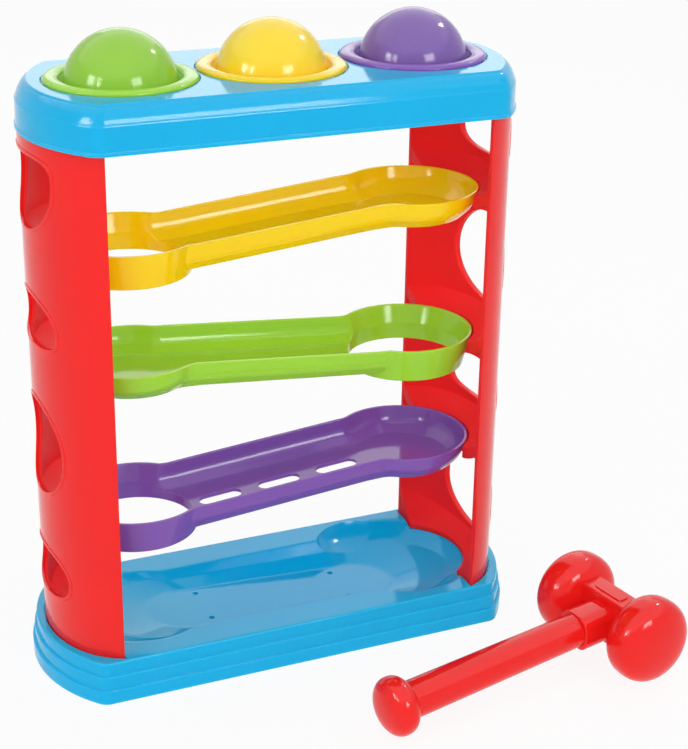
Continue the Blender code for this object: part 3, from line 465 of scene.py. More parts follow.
# Shares of the wall's flare and of its depth at the rim, the fold, the floor's edge and past it
TROUGH_CORNER_SHARES = ((0.0, 0.0), (0.27, 0.60), (1.0, 1.0), (1.35, 1.0))
PROFILE_STEPS = 10
INSIDE_PROFILE = rounded(TROUGH_CORNER_SHARES, (0, 0.90, 0.30, 0), PROFILE_STEPS)
OUTSIDE_PROFILE = rounded(TROUGH_CORNER_SHARES, (0, 2.0, 0.45, 0), PROFILE_STEPS)


def rim_height(x, ends):
    """Height of a ramp's rim, from its heights at the left and at the right end."""
    share = (max(-1.0, min(1.0, x / SLOPE_END)) + 1) / 2
    return ends[0] + share * (ends[1] - ends[0])


def cone_radius(depth):
    """Outer radius of the ring round the hole at a depth below its rim."""
    return RING_RADIUS - depth / RING_HEIGHT * (RING_RADIUS - RING_FOOT_RADIUS)


def bore_radius(depth):
    """Inner radius of the ring, which flares in its upper half."""
    flared = RING_RADIUS - RAMP_WALL - BORE_FLARE * depth
    return max(flared, HOLE_RADIUS + BORE_LEAN * (RING_HEIGHT - depth))


def trough(name, ends, hole_side, profile, shrink):
    """The trough as a solid: its outside with no shrink, or its inside with the wall's thickness."""
    rows = []
    for flare, depth in profile:
        dish = RING_RADIUS - flare * (RING_RADIUS - DISH_FLOOR_RADIUS) - shrink
        neck = TROUGH_HALF_WIDTH - flare * (TROUGH_HALF_WIDTH - TROUGH_FLOOR_HALF_WIDTH) - shrink
        fall = depth * TROUGH_HEIGHT
        hole = bore_radius(fall) - BURY if shrink else cone_radius(fall) - RAMP_WALL / 2
        radii = (dish, hole) if hole_side > 0 else (hole, dish)
        outline = dumbbell(STATION, *radii, neck, NECK_BLEND_RADIUS)
        drop = depth * (TROUGH_HEIGHT - shrink)
        rows.append([(x, y, rim_height(x, ends) - drop) for x, y in outline])
    rows.insert(0, [(x, y, z + OVERRUN) for x, y, z in rows[0]])
    return strip_loft(name, rows)


def lid(ends):
    """Everything above a ramp's rim, which trims the rim to its level and sloping parts."""
    far = STATION + RING_RADIUS + OVERRUN
    line = [(-far, ends[0]), (-SLOPE_END, ends[0]), (SLOPE_END, ends[1]), (far, ends[1])]
    line += [(far, max(ends) + 3 * OVERRUN), (-far, max(ends) + 3 * OVERRUN)]
    return loft("lid", [[(x, y, z) for x, z in line] for y in (-far, far)])


def ramp(name, node, hole_side, material, slots=None):
    """Trough, ring and hole of one ramp, with its lips rounded."""
    low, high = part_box(node)
    level_high, level_low = high.z, low.z + RING_HEIGHT
    ends = (level_high, level_low) if hole_side > 0 else (level_low, level_high)
    centre = (hole_side * STATION, 0, level_low)
    item = trough(name, ends, hole_side, OUTSIDE_PROFILE, 0.0)
    cone = [(RING_FOOT_RADIUS, -RING_HEIGHT), (cone_radius(-OVERRUN), OVERRUN)]
    join(item, moved(turned("cone", cone), centre))
    join(item, *[lug(side, rim_height(side * STATION, ends)) for side in SIDES])
    cut(item, lid(ends), trough("inside", ends, hole_side, INSIDE_PROFILE, RAMP_WALL))
    depths = [RING_HEIGHT * (1 - step / BORE_STEPS) for step in range(BORE_STEPS + 1)]
    bore = [(bore_radius(depth), -depth) for depth in (RING_HEIGHT + OVERRUN, *depths, -OVERRUN)]
    cut(item, moved(turned("hole", bore), centre))
    if slots:
        cut(item, slots)

    def on_lip(point):
        foot = abs(point.z - level_low + RING_HEIGHT) < 2 * HAIR
        return abs(point.z - rim_height(point.x, ends)) < 2 * HAIR or foot

    ease_edges(item, LIP_ROUNDING, on_lip)
    return dress(item, material, node)


# %% [markdown]
# At each tip a flat lug plugs into a slot in the side panel's shelf, which is what carries the ramp.

# %% Lugs
LUG_WIDTH = 0.0160
LUG_THICKNESS = 0.0030
LUG_REACH = 0.0069
SHELF_THICKNESS = 0.0073


def lug(side, rim):
    """Flat lug on a ramp's tip."""
    middle = rim - SHELF_THICKNESS / 2
    inner, outer = STATION + RING_RADIUS - RAMP_WALL, STATION + RING_RADIUS + LUG_REACH
    half = LUG_WIDTH / 2
    corners = [(side * inner, -half), (side * outer, -half), (side * outer, half), (side * inner, half)]
    return prism("lug", corners, middle - LUG_THICKNESS / 2, middle + LUG_THICKNESS / 2)


# %% [markdown]
# The lowest ramp has a row of long slots. A row of equal things is work for Geometry Nodes:
# one slot-shaped cutter is placed on the points of a line, made real, and then used in a Boolean.
# The same tree can turn each copy a little further, which is how a collar gets its fingers later on.

# %% Repeats by Geometry Nodes
SLOT_LENGTH = 0.0260
SLOT_WIDTH = 0.0100
SLOT_PITCH = 0.0365
SLOT_OFFSET = 0.0042
SLOT_COUNT = 3
SLOT_END_STEPS = 16


def repeating_tree():
    """Node tree that repeats a mesh by a pitch along X and by a turn about Z."""
    tree = bpy.data.node_groups.new("repeat", "GeometryNodeTree")
    kinds = {"Geometry": "Geometry", "Count": "Int", "Pitch": "Float", "Turn": "Float"}
    for name, kind in {**kinds, "Material": "Material"}.items():
        tree.interface.new_socket(name, in_out="INPUT", socket_type="NodeSocket" + kind)
    tree.interface.new_socket("Geometry", in_out="OUTPUT", socket_type="NodeSocketGeometry")
    add = tree.nodes.new
    ins, outs = add("NodeGroupInput"), add("NodeGroupOutput")
    step, turn = add("ShaderNodeCombineXYZ"), add("ShaderNodeCombineXYZ")
    number, angle = add("GeometryNodeInputIndex"), add("ShaderNodeMath")
    angle.operation = "MULTIPLY"
    line, place = add("GeometryNodeMeshLine"), add("GeometryNodeInstanceOnPoints")
    real, paint = add("GeometryNodeRealizeInstances"), add("GeometryNodeSetMaterial")
    wire(
        tree,
        (ins, "Pitch", step, "X"),
        (ins, "Count", line, "Count"),
        (step, "Vector", line, "Offset"),
        (number, "Index", angle, 0),
        (ins, "Turn", angle, 1),
        (angle, 0, turn, "Z"),
        (line, "Mesh", place, "Points"),
        (ins, "Geometry", place, "Instance"),
        (turn, "Vector", place, "Rotation"),
        (place, "Instances", real, "Geometry"),
        (real, "Geometry", paint, "Geometry"),
        (ins, "Material", paint, "Material"),
        (paint, "Geometry", outs, "Geometry"),
    )
    return tree


REPEAT = repeating_tree()


def repeated(item, **values):
    """The object repeated by the node tree, whose inputs are set by their identifiers."""
    change = item.modifiers.new("repeat", "NODES")
    change.node_group = REPEAT
    for socket in REPEAT.interface.items_tree:
        if socket.in_out == "INPUT" and socket.name in values:
            change[socket.identifier] = values[socket.name]
    return settled(item)


def slot_row():
    """Cutters for the row of slots, following the ramp's slope closely enough."""
    radius, straight = SLOT_WIDTH / 2, SLOT_LENGTH / 2 - SLOT_WIDTH / 2
    outline = arc((straight, 0), radius, -math.pi / 2, math.pi / 2, SLOT_END_STEPS)
    outline += arc((-straight, 0), radius, math.pi / 2, 3 * math.pi / 2, SLOT_END_STEPS)
    low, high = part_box("ramp_bottom")
    middle = (low.z + RING_HEIGHT + high.z) / 2
    cutter = prism("slots", outline, middle - 2 * TROUGH_HEIGHT, middle - RAMP_WALL - LIP_ROUNDING)
    repeated(cutter, Count=SLOT_COUNT, Pitch=SLOT_PITCH, Material=PURPLE)
    return moved(cutter, (SLOT_OFFSET - SLOT_PITCH * (SLOT_COUNT - 1) / 2, 0, 0))


ramp("ramp_top_trough", "ramp_top", -1, YELLOW)
ramp("ramp_middle_trough", "ramp_middle", 1, GREEN)
ramp("ramp_bottom_trough", "ramp_bottom", -1, PURPLE, slot_row())

# %% [markdown]
# ## The base and the deck
# Both have the same plan: straight front and back, bowed ends and rounded corners.
# The base steps in twice on its way up. The deck has a lip, a crease and a broad round shoulder.

# %% Bowed outlines
END_BOW = 0.0815
BASE_CORNER, DECK_CORNER = 0.0080, 0.0120
BASE_STEP_INSET = 0.0014
BASE_WALL = 0.0024
BOW_STEPS, CORNER_STEPS = 22, 10


def bowed_outline(high, corner, inset):
    """Closed outline with straight long sides, bowed ends and rounded corners, up to a high corner."""
    bow_x, reach, corner_y = high.x - END_BOW, END_BOW - corner, high.y - corner
    corner_x = bow_x + math.sqrt(reach**2 - corner_y**2)
    turn = math.atan2(corner_y, corner_x - bow_x)
    quarter = arc((bow_x, 0), END_BOW - inset, 0, turn, BOW_STEPS)
    quarter += arc((corner_x, corner_y), corner - inset, turn, math.pi / 2, CORNER_STEPS)[1:]
    outline = quarter + [(-x, y) for x, y in reversed(quarter)]
    outline += [(-x, -y) for x, y in quarter[1:]]
    return outline + [(x, -y) for x, y in reversed(quarter[1:])]


def bowed_loft(name, high, corner, profile):
    """Solid with a bowed outline at each inset and height of a profile."""
    rows = []
    for inset, height in profile:
        rows.append([(x, y, height) for x, y in bowed_outline(high, corner, inset)])
    return loft(name, rows)


# %% [markdown]
# The landing tray is a dumbbell too, wider at its ends and dished. Its floor falls to the right,
# so the ball rolls on to the end. Its edges are very round, as the reflections in it show,
# and a round bowl is sunk into its rim at the back.

# %% Landing tray
TRAY_LEFT_RADIUS = 0.0405
TRAY_END_RADIUS = 0.0465
TRAY_NECK_HALF_WIDTH = 0.0345
TRAY_BLEND_RADIUS = 0.0160
TRAY_FLOOR_STATION = 0.0560
TRAY_FLOOR_RADIUS = 0.0225
TRAY_FLOOR_HALF_WIDTH = 0.0215
TRAY_FLOOR_HEIGHT = 0.0132
TRAY_FALL = 0.0085
# Shares of the way in and of the depth: outside the rim, the rim, the wall, the floor's edge and past it
TRAY_CORNER_SHARES = ((-0.16, 0.0), (0.02, 0.0), (0.36, 0.55), (1.0, 1.0), (1.25, 1.0))
TRAY_PROFILE = rounded(TRAY_CORNER_SHARES, (0, 0.16, 0.4, 0.2, 0))
BOWL_PLACE = (0.0685, 0.0213, 0.0)
# Radius and height of the bowl's wall at its rim, at the corner that it bends towards and at its bottom
BOWL_WALL = ((0.0290, 0.0), (0.0240, -0.0098), (0.0020, -0.0122))
BOWL_CUTTER_RADIUS = 0.0296
BOWL_STEPS = 16


def tray_floor(x):
    """Height of the tray's floor."""
    return TRAY_FLOOR_HEIGHT - max(-1.0, min(1.0, x / STATION)) * TRAY_FALL / 2


def tray_cutter():
    """Hollow of the landing tray."""
    rows = []
    for travel, depth in TRAY_PROFILE:
        share = max(0.0, min(1.0, travel))
        past = (travel - share) * (TRAY_END_RADIUS - TRAY_FLOOR_RADIUS)
        station = STATION + share * (TRAY_FLOOR_STATION - STATION)
        radius = TRAY_END_RADIUS + share * (TRAY_FLOOR_RADIUS - TRAY_END_RADIUS) - past
        neck = TRAY_NECK_HALF_WIDTH + share * (TRAY_FLOOR_HALF_WIDTH - TRAY_NECK_HALF_WIDTH) - past
        left = TRAY_LEFT_RADIUS + share * (TRAY_FLOOR_RADIUS - TRAY_LEFT_RADIUS) - past
        outline = dumbbell(station, left, radius, neck, TRAY_BLEND_RADIUS)
        lift = 2 * HAIR if depth == 0 else 0.0
        rows.append([(x, y, BASE_TOP + lift - depth * (BASE_TOP - tray_floor(x))) for x, y in outline])
    rows.insert(0, [(x, y, BASE_TOP + OVERRUN) for x, y, _ in rows[0]])
    return strip_loft("tray", rows)


def bowl():
    """Hollow of the round bowl."""
    wall_line = [(radius, BASE_TOP + depth) for radius, depth in bend(*BOWL_WALL, BOWL_STEPS)]
    profile = [(BOWL_CUTTER_RADIUS, BASE_TOP + lift) for lift in (OVERRUN, 2 * HAIR)] + wall_line
    return moved(turned("bowl", profile[::-1]), BOWL_PLACE)


# %% [markdown]
# The side panels are oval in plan. The same oval gives the recess that the foot drops into,
# so it is worked out once, as a distance from the ring's centre along an angle.

# %% Oval of the side panels
SHELF_RADIUS = 0.0406
SHELF_WIDTH = 0.0134
PANEL_FACE_X = 0.1075
PANEL_HALF_DEPTH = 0.0540
PANEL_BULGE = 0.0410
PANEL_WALL = 0.0030
PANEL_APEX_X = STATION + SHELF_RADIUS + SHELF_WIDTH
PANEL_CENTRE_X = PANEL_APEX_X - PANEL_BULGE
FOOT_RECESS_DEPTH = 0.0037
TONGUE_INSET = 0.0042
TONGUE_HEIGHT = 0.0080
TONGUE_THICKNESS = 0.0032
OVAL_STEPS = 72
FOOT_ARC_STEPS = 48


def panel_reach(angle, inset):
    """Distance from the ring's centre to the panel's oval, along an angle in plan."""
    cosine, sine = math.cos(angle) / (PANEL_BULGE - inset), math.sin(angle) / (PANEL_HALF_DEPTH - inset)
    offset = (PANEL_CENTRE_X - STATION) / (PANEL_BULGE - inset)
    a, b, c = cosine**2 + sine**2, -2 * cosine * offset, offset**2 - 1
    return (-b + math.sqrt(b * b - 4 * a * c)) / (2 * a)


def flange_angle(inset, face_x=PANEL_FACE_X):
    """Angle in plan at which the oval meets the panel's flat inner face."""
    run = face_x - PANEL_CENTRE_X
    half = (PANEL_HALF_DEPTH - inset) * math.sqrt(1 - (run / (PANEL_BULGE - inset)) ** 2)
    return math.atan2(half, face_x - STATION)


def fan(limit):
    """Even turns from minus a limit to the limit."""
    return [-limit + 2 * limit * step / OVAL_STEPS for step in range(OVAL_STEPS + 1)]


def oval(inset, face_x=PANEL_FACE_X):
    """Points along the oval from the front edge to the back edge."""
    points = []
    for turn in fan(flange_angle(inset, face_x)):
        reach = panel_reach(turn, inset)
        points.append((STATION + reach * math.cos(turn), reach * math.sin(turn)))
    return points


def foot_outline(gap):
    """Outline of the foot in plan, or of its recess with a gap."""
    face_x, inner = PANEL_FACE_X - gap, SHELF_RADIUS - gap
    limit = math.acos((face_x - STATION) / inner)
    return oval(-gap, face_x) + arc((STATION, 0), inner, limit, -limit, FOOT_ARC_STEPS)


def for_side(item, side):
    """A piece made for the right side, turned round for the left one."""
    return item if side > 0 else turned_mesh(item, 180, "Z")


# %% [markdown]
# The base is hollow underneath, with ribs that keep it stiff and stand on the floor with its rim.
# Four small drain holes go through the tray. They repeat, so the same node tree places them.

# %% Base
RIB = 0.0030
POCKET_END = 0.0400
BOSS_RADIUS = 0.0080
FOOT_GAP = 0.0007
DRAIN_RADIUS = 0.0018
DRAIN_SPACING_X, DRAIN_SPACING_Y = 0.0880, 0.0300
DRAIN_SEGMENTS = 32
BOSS_SEGMENTS = 48
# Insets in steps and heights as shares of the base, and how far each corner between them is eased
TIER_SHARES = ((0.0, 0.0), (0.0, 1 / 3), (1.0, 1 / 3), (1.0, 2 / 3), (2.0, 2 / 3), (2.0, 1.0))
TIER_EASING = (0, 0.0016, 0.0006, 0.0016, 0.0006, 0)
BASE_EDGE = 0.0012


def middle_pocket(side_x, side_y):
    """Hollow under half of the tray's middle and beside it."""
    far_y = base_high.y - 2 * BASE_STEP_INSET - BASE_WALL - RIB / 3
    roof, trough_y = BASE_TOP - BASE_WALL, TRAY_NECK_HALF_WIDTH + BASE_WALL
    rows = []
    for x in (RIB / 2, POCKET_END):
        floor = tray_floor(side_x * x) - BASE_WALL
        section = [(RIB / 2, -OVERRUN), (far_y, -OVERRUN), (far_y, roof), (trough_y, roof)]
        section += [(TRAY_FLOOR_HALF_WIDTH, floor), (RIB / 2, floor)]
        rows.append([(side_x * x, side_y * y, z) for y, z in section])
    return loft("pocket", rows)


def end_pocket(side_x, side_y):
    """Hollow under a quarter of the base's ends."""
    near_x, inset = POCKET_END + RIB, 2 * BASE_STEP_INSET + BASE_WALL + RIB / 3
    ring = bowed_outline(base_high, BASE_CORNER, inset)
    quarter = [point for point in ring[:BOW_STEPS + CORNER_STEPS + 1] if point[1] > RIB / 2]
    corners = [(near_x, RIB / 2), (ring[0][0], RIB / 2), *quarter, (near_x, base_high.y - inset)]
    groove = BASE_TOP - FOOT_RECESS_DEPTH - TONGUE_HEIGHT
    roof = min(tray_floor(side_x * STATION), groove) - BASE_WALL
    return prism("pocket", [(side_x * x, side_y * y) for x, y in corners], -OVERRUN, roof)


def tongue_outline(gap):
    """Outline in plan of a panel's tongue, or of its groove with a gap."""
    outer, face_x = TONGUE_INSET - gap, PANEL_FACE_X + TONGUE_INSET - gap
    return oval(outer, face_x) + oval(outer + TONGUE_THICKNESS + 2 * gap, face_x)[::-1]


def base():
    """Stepped base with its tray, foot recesses, grooves, drain holes, ribs and boss."""
    tiers = [(inset * BASE_STEP_INSET, share * BASE_TOP) for inset, share in TIER_SHARES]
    item = bowed_loft("base_moulding", base_high, BASE_CORNER, rounded(tiers, TIER_EASING))
    ease_edges(item, BASE_EDGE, lambda point: point.z > BASE_TOP - HAIR)
    cut(item, tray_cutter(), bowl())
    seat = BASE_TOP - FOOT_RECESS_DEPTH
    for side in SIDES:
        recess = prism("recess", foot_outline(FOOT_GAP), seat, BASE_TOP + OVERRUN)
        groove = prism("groove", tongue_outline(SEAT_GAP), seat - TONGUE_HEIGHT, BASE_TOP)
        cut(item, for_side(recess, side), for_side(groove, side))
    for quarter in QUARTERS:
        cut(item, middle_pocket(*quarter), end_pocket(*quarter))
    boss = [(BOSS_RADIUS, 0.0), (BOSS_RADIUS, TRAY_FLOOR_HEIGHT - RAMP_WALL / 2)]
    join(item, turned("boss", boss, BOSS_SEGMENTS))
    for side in SIDES:
        drain = turned("drain", [(DRAIN_RADIUS, -OVERRUN), (DRAIN_RADIUS, BASE_TOP)], DRAIN_SEGMENTS)
        repeated(drain, Count=2, Pitch=DRAIN_SPACING_X, Material=BLUE)
        cut(item, moved(drain, (-DRAIN_SPACING_X / 2, side * DRAIN_SPACING_Y / 2, 0)))
    return dress(item, BLUE, "base")


base()

# %% [markdown]
# ## The deck
# The deck is a shell that is open below. Each collar drops into a shallow seat with a hole through it.

# %% Deck
DECK_WALL = 0.0025
DECK_RECESS_DEPTH = 0.0020
COLLAR_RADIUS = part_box("collar_centre")[1].x
COLLAR_NECK_RADIUS = BALL_RADIUS + 0.0042
RIB_DROP = 0.0070
RIB_CLEARANCE = 0.0034
RIB_BURY = 0.0010
COLLAR_CREASE = 0.0006
SEAT_EDGE = 0.0005
SHOULDER_STEPS = 16
# Inset, height and rounding of each corner of the deck's side. Then its shoulder, then its top's edge
DECK_SIDE = (
    (0.0000, 0.0000, 0.0000),
    (0.0000, 0.0014, 0.0003),
    (0.0006, 0.0022, 0.0006),
    (0.0008, 0.0146, 0.0002),
    (0.0010, 0.0152, 0.0001),
    (0.0013, 0.0155, 0.0000),
)
DECK_SHOULDER = ((0.0013, 0.0155), (0.0031, 0.0220), (0.0066, 0.0234))
DECK_EDGE = ((0.0069, 0.0241), (0.0073, 0.0244), (0.0090, 0.0244))
DECK_HOLLOW = 0.0041


def deck_ribs(hollow, roof):
    """Ribs that bear on the flat tips of the side panels' tongues."""
    near = PANEL_FACE_X + TONGUE_INSET - SEAT_GAP
    low_y, high_y = COLLAR_NECK_RADIUS + RIB_CLEARANCE, deck_high.y - hollow + RIB_BURY
    plan = ((near - RIB, low_y), (near, low_y), (near, high_y), (near - RIB, high_y))
    ribs = []
    for side_x, side_y in QUARTERS:
        corners = [(side_x * x, side_y * y) for x, y in plan]
        ribs.append(prism("rib", corners, roof - RIB_DROP, roof + RIB_BURY))
    return ribs


def deck():
    """Deck with its shoulder, collar seats and the hollow underneath."""
    side = rounded([corner[:2] for corner in DECK_SIDE], [corner[2] for corner in DECK_SIDE])
    profile = [*side[:-1], *bend(*DECK_SHOULDER, SHOULDER_STEPS), *DECK_EDGE]
    profile = [(inset, DECK_BOTTOM + rise) for inset, rise in profile]
    item = bowed_loft("deck_moulding", deck_high, DECK_CORNER, profile)
    roof = DECK_TOP - DECK_RECESS_DEPTH - DECK_WALL
    levels = [(DECK_HOLLOW, DECK_BOTTOM + rise) for rise in (-OVERRUN, DECK_SHOULDER[0][1])]
    levels.append((DECK_HOLLOW + DECK_WALL, roof))
    cut(item, bowed_loft("hollow", deck_high, DECK_CORNER, levels))
    join(item, *deck_ribs(DECK_HOLLOW, roof))
    seat, bore = COLLAR_RADIUS + COLLAR_CREASE, COLLAR_NECK_RADIUS + SEAT_GAP
    for x in (-STATION, 0.0, STATION):
        for radius, foot in ((seat, DECK_TOP - DECK_RECESS_DEPTH), (bore, roof - OVERRUN)):
            cut(item, moved(turned("hole", [(radius, foot), (radius, DECK_TOP + OVERRUN)]), (x, 0, 0)))

    def on_seat(point):
        return point.z > DECK_TOP - HAIR and abs(point.y) < seat + 10 * HAIR

    ease_edges(item, SEAT_EDGE, on_seat)
    return dress(item, BLUE, "top_deck")


deck()

# %% [markdown]
# ## The collars
# A collar is a bead that shows, over a crown of springy fingers that grips the ball.
# The bead is turned from a rounded profile. One finger is made, and the node tree repeats it.

# %% Collars
FINGER_COUNT = 8
FINGER_GAP = 0.0020
FINGER_STEPS = 12
COLLAR_SEAT = DECK_TOP - DECK_RECESS_DEPTH + SEAT_GAP
COLLAR_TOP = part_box("collar_centre")[1].z
COLLAR_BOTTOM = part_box("collar_centre")[0].z
GRIP_RADIUS = BALL_RADIUS + SEAT_GAP
MOUTH_RADIUS = GRIP_RADIUS + 0.0016
GRIP_BOTTOM = BALL_CENTRE - 0.0070
FINGER_RADIUS = COLLAR_NECK_RADIUS - 0.0001
SNAP_DEPTH, SNAP_HEIGHT = 0.0009, 0.0020
FINGER_EASING = (0.0006, 0.0006, 0, 0.0004, 0.0003, 0, 0, 0, 0.003)
BEAD_STEPS = 20
BEAD_FOOT_SHARE = 0.38
BEAD_POWER = 0.8
BEAD_TUCK, BEAD_DROP = 0.0012, 0.0008


def finger(root):
    """One finger of the crown: a curved strip with a snap ridge outside and a flared mouth."""
    half = math.pi / FINGER_COUNT - FINGER_GAP / 2 / GRIP_RADIUS
    neck, ridge = FINGER_RADIUS, FINGER_RADIUS + SNAP_DEPTH
    snap_top, top = root - SEAT_GAP, root + BURY
    section = [(MOUTH_RADIUS, COLLAR_BOTTOM), (neck, COLLAR_BOTTOM), (neck, snap_top - SNAP_HEIGHT)]
    section += [(ridge, snap_top - SNAP_HEIGHT / 2), (ridge, snap_top), (neck, snap_top)]
    section += [(neck, top), (GRIP_RADIUS, top), (GRIP_RADIUS, GRIP_BOTTOM)]
    section = rounded(section, FINGER_EASING, steps=3, closed=True)
    rows = []
    for step in range(FINGER_STEPS + 1):
        turn = -half + 2 * half * step / FINGER_STEPS
        rows.append([(r * math.cos(turn), r * math.sin(turn), z) for r, z in section])
    return loft("finger", rows)


def bead():
    """Profile of a collar's bead, from its outside over its top to its mouth."""
    centre, half_width = (COLLAR_RADIUS + MOUTH_RADIUS) / 2, (COLLAR_RADIUS - MOUTH_RADIUS) / 2
    foot = COLLAR_SEAT + BEAD_FOOT_SHARE * (COLLAR_TOP - COLLAR_SEAT)
    points = []
    for step in range(BEAD_STEPS + 1):
        angle = math.pi * step / BEAD_STEPS
        rise = (COLLAR_TOP - foot) * abs(math.sin(angle)) ** BEAD_POWER
        points.append((centre + half_width * math.cos(angle), foot + rise))
    return points


def collar(name, material, place_x):
    """Bead and crown of one collar."""
    root = DECK_TOP - DECK_RECESS_DEPTH - DECK_WALL
    profile = [(COLLAR_RADIUS - BEAD_TUCK, COLLAR_SEAT), *bead()]
    profile += [(GRIP_RADIUS, COLLAR_SEAT - BEAD_DROP), (GRIP_RADIUS, root)]
    profile += [(COLLAR_NECK_RADIUS, root), (COLLAR_NECK_RADIUS, COLLAR_SEAT)]
    item = turned_ring(name, profile, FINE_SEGMENTS)
    crown = repeated(finger(root), Count=FINGER_COUNT, Turn=math.tau / FINGER_COUNT, Material=material)
    moved(join(item, crown), (place_x, 0, 0))
    return dress(item, material, name.replace("_ring", ""))


collar("collar_left_ring", GREEN, -STATION)
collar("collar_centre_ring", YELLOW, 0.0)
collar("collar_right_ring", PURPLE, STATION)

# %% [markdown]
# ## The side panels
# A panel's wall is a curved sheet with windows. It is easier to draw it flat, with the windows cut
# and their edges rounded, and only then to wrap it round the oval. The wall is measured along its
# outside, so each flat width is an arc length. A window is cut straight along X, as its mould was,
# so its outline has to be stretched where the wall turns away.

# %% Wrapping
TABLE_STEPS = 1600
STRIP_WIDTH = 0.0016


def oval_table():
    """Arc length, place and outward normal along the panel's outer oval."""
    limit = math.acos((PANEL_FACE_X - PANEL_CENTRE_X) / PANEL_BULGE)
    turn = np.linspace(-limit, limit, TABLE_STEPS)
    x, y = PANEL_CENTRE_X + PANEL_BULGE * np.cos(turn), PANEL_HALF_DEPTH * np.sin(turn)
    normal = np.stack([np.cos(turn) / PANEL_BULGE, np.sin(turn) / PANEL_HALF_DEPTH], 1)
    normal /= np.linalg.norm(normal, axis=1)[:, None]
    run = np.concatenate([[0], np.cumsum(np.hypot(np.diff(x), np.diff(y)))])
    return run, x, y, normal


RUN, OVAL_X, OVAL_Y, OVAL_NORMAL = oval_table()
WALL_LENGTH = float(RUN[-1])
print("wall length along the outside:", round(WALL_LENGTH, 4))


def flat_place(y, depth):
    """Arc length at which a line along X at this Y meets the wall at a depth (outwards positive)."""
    across = OVAL_Y + depth * OVAL_NORMAL[:, 1]
    return float(np.interp(y, across, RUN))


def wrap(item):
    """Cut a flat wall into narrow strips and wrap it round the oval."""
    shape = bmesh.new()
    shape.from_mesh(item.data)
    count = int(WALL_LENGTH / STRIP_WIDTH)
    for i in range(1, count):
        place = {"plane_co": (WALL_LENGTH * i / count, 0, 0), "plane_no": (1, 0, 0)}
        everything = shape.verts[:] + shape.edges[:] + shape.faces[:]
        bmesh.ops.bisect_plane(shape, geom=everything, dist=MERGE_DISTANCE, **place)
    for vert in shape.verts:
        run, depth, height = vert.co
        x, y = np.interp(run, RUN, OVAL_X), np.interp(run, RUN, OVAL_Y)
        nx, ny = np.interp(run, RUN, OVAL_NORMAL[:, 0]), np.interp(run, RUN, OVAL_NORMAL[:, 1])
        vert.co = (x + depth * nx, y + depth * ny, height)
    bmesh.ops.recalc_face_normals(shape, faces=shape.faces)
    shape.to_mesh(item.data)
    shape.free()
    return item


# %% [markdown]
# Every bay between two shelves has one window. Its height follows the bay, and the sets differ
# from side to side, because the ramps reach the two panels at different heights.

# %% Windows
WINDOW_RIM_WIDTH = 0.0020
WINDOW_RIM_RISE = 0.0005
WINDOW_EDGE = 0.0004
# Bottom, widest line and top as shares of the bay, half width as a share of half the panel's depth,
# and the squareness of the lower and of the upper half, from the lowest bay up
LEFT_WINDOW_SHARES = (
    (0.335, 0.510, 0.710, 0.53, 2.4, 2.3),
    (0.155, 0.455, 0.780, 0.53, 2.1, 2.1),
    (0.215, 0.365, 0.620, 0.53, 3.2, 2.1),
    (0.180, 0.650, 0.855, 0.565, 2.1, 4.0),
)
RIGHT_WINDOW_SHARES = (
    (0.112, 0.430, 0.670, 0.510, 2.1, 3.0),
    (0.193, 0.370, 0.580, 0.504, 3.0, 2.6),
    (0.128, 0.435, 0.745, 0.504, 2.1, 2.1),
    (0.250, 0.560, 0.827, 0.504, 3.0, 4.0),
)
WINDOW_STEPS = 72


def rims_on(side):
    """Heights of the ramps' rims at one side, from the lowest up."""
    heights = []
    for node, hole_side in (("ramp_bottom", -1), ("ramp_middle", 1), ("ramp_top", -1)):
        low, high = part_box(node)
        heights.append(low.z + RING_HEIGHT if hole_side == side else high.z)
    return heights


def window_points(place, margin):
    """Outline of a window in Y and Z."""
    bottom, widest, top, half_width, low_power, high_power = place
    points = []
    for step in range(WINDOW_STEPS):
        angle = math.tau * step / WINDOW_STEPS
        cosine, sine = math.cos(angle), math.sin(angle)
        power, reach = (high_power, top - widest) if sine > 0 else (low_power, widest - bottom)
        across = math.copysign(abs(cosine) ** (2 / power), cosine)
        along = math.copysign(abs(sine) ** (2 / power), sine)
        points.append((across * (half_width + margin), widest + along * (reach + margin)))
    return points


def window_places(side):
    """Bottom, widest line, top, half width and squareness of each window on one side."""
    floors = [BASE_TOP, *rims_on(side), DECK_BOTTOM]
    shares = LEFT_WINDOW_SHARES if side < 0 else RIGHT_WINDOW_SHARES
    places = []
    for low, high, share in zip(floors, floors[1:], shares):
        heights = [low + part * (high - low) for part in share[:3]]
        places.append((*heights, share[3] * PANEL_HALF_DEPTH, share[4], share[5]))
    return places


def flat_window(place, margin, near, far):
    """Bar through the flat wall, which becomes a window cut straight along X once it is wrapped."""
    rows = []
    for depth in (near, (near + far) / 2, far):
        rows.append([(flat_place(y, depth), depth, z) for y, z in window_points(place, margin)])
    return loft("window", rows)


# %% [markdown]
# The wall is a flat bar first. Its long ends slant, so that they lie in one plane after wrapping.

# %% Walls
FOOT_SEAT = BASE_TOP - FOOT_RECESS_DEPTH + SEAT_GAP
HEAD_TOP = DECK_BOTTOM - SEAT_GAP


def wall(name, side):
    """Wrapped wall of a panel, with its windows and their raised rims."""
    slant = PANEL_WALL * float(OVAL_NORMAL[0][0] / -OVAL_NORMAL[0][1])
    section = [(0, 0), (WALL_LENGTH, 0), (WALL_LENGTH - slant, -PANEL_WALL), (slant, -PANEL_WALL)]
    item = loft(name, [[(run, depth, z) for run, depth in section] for z in (FOOT_SEAT, HEAD_TOP)])
    places = window_places(side)
    rim = (WINDOW_RIM_WIDTH, -PANEL_WALL / 2, WINDOW_RIM_RISE)
    join(item, *[flat_window(place, *rim) for place in places])
    cut(item, *[flat_window(place, 0.0, -PANEL_WALL - OVERRUN, OVERRUN) for place in places])
    ease_edges(item, WINDOW_EDGE, lambda point: True, segments=2, outer_only=True)
    return wrap(item)


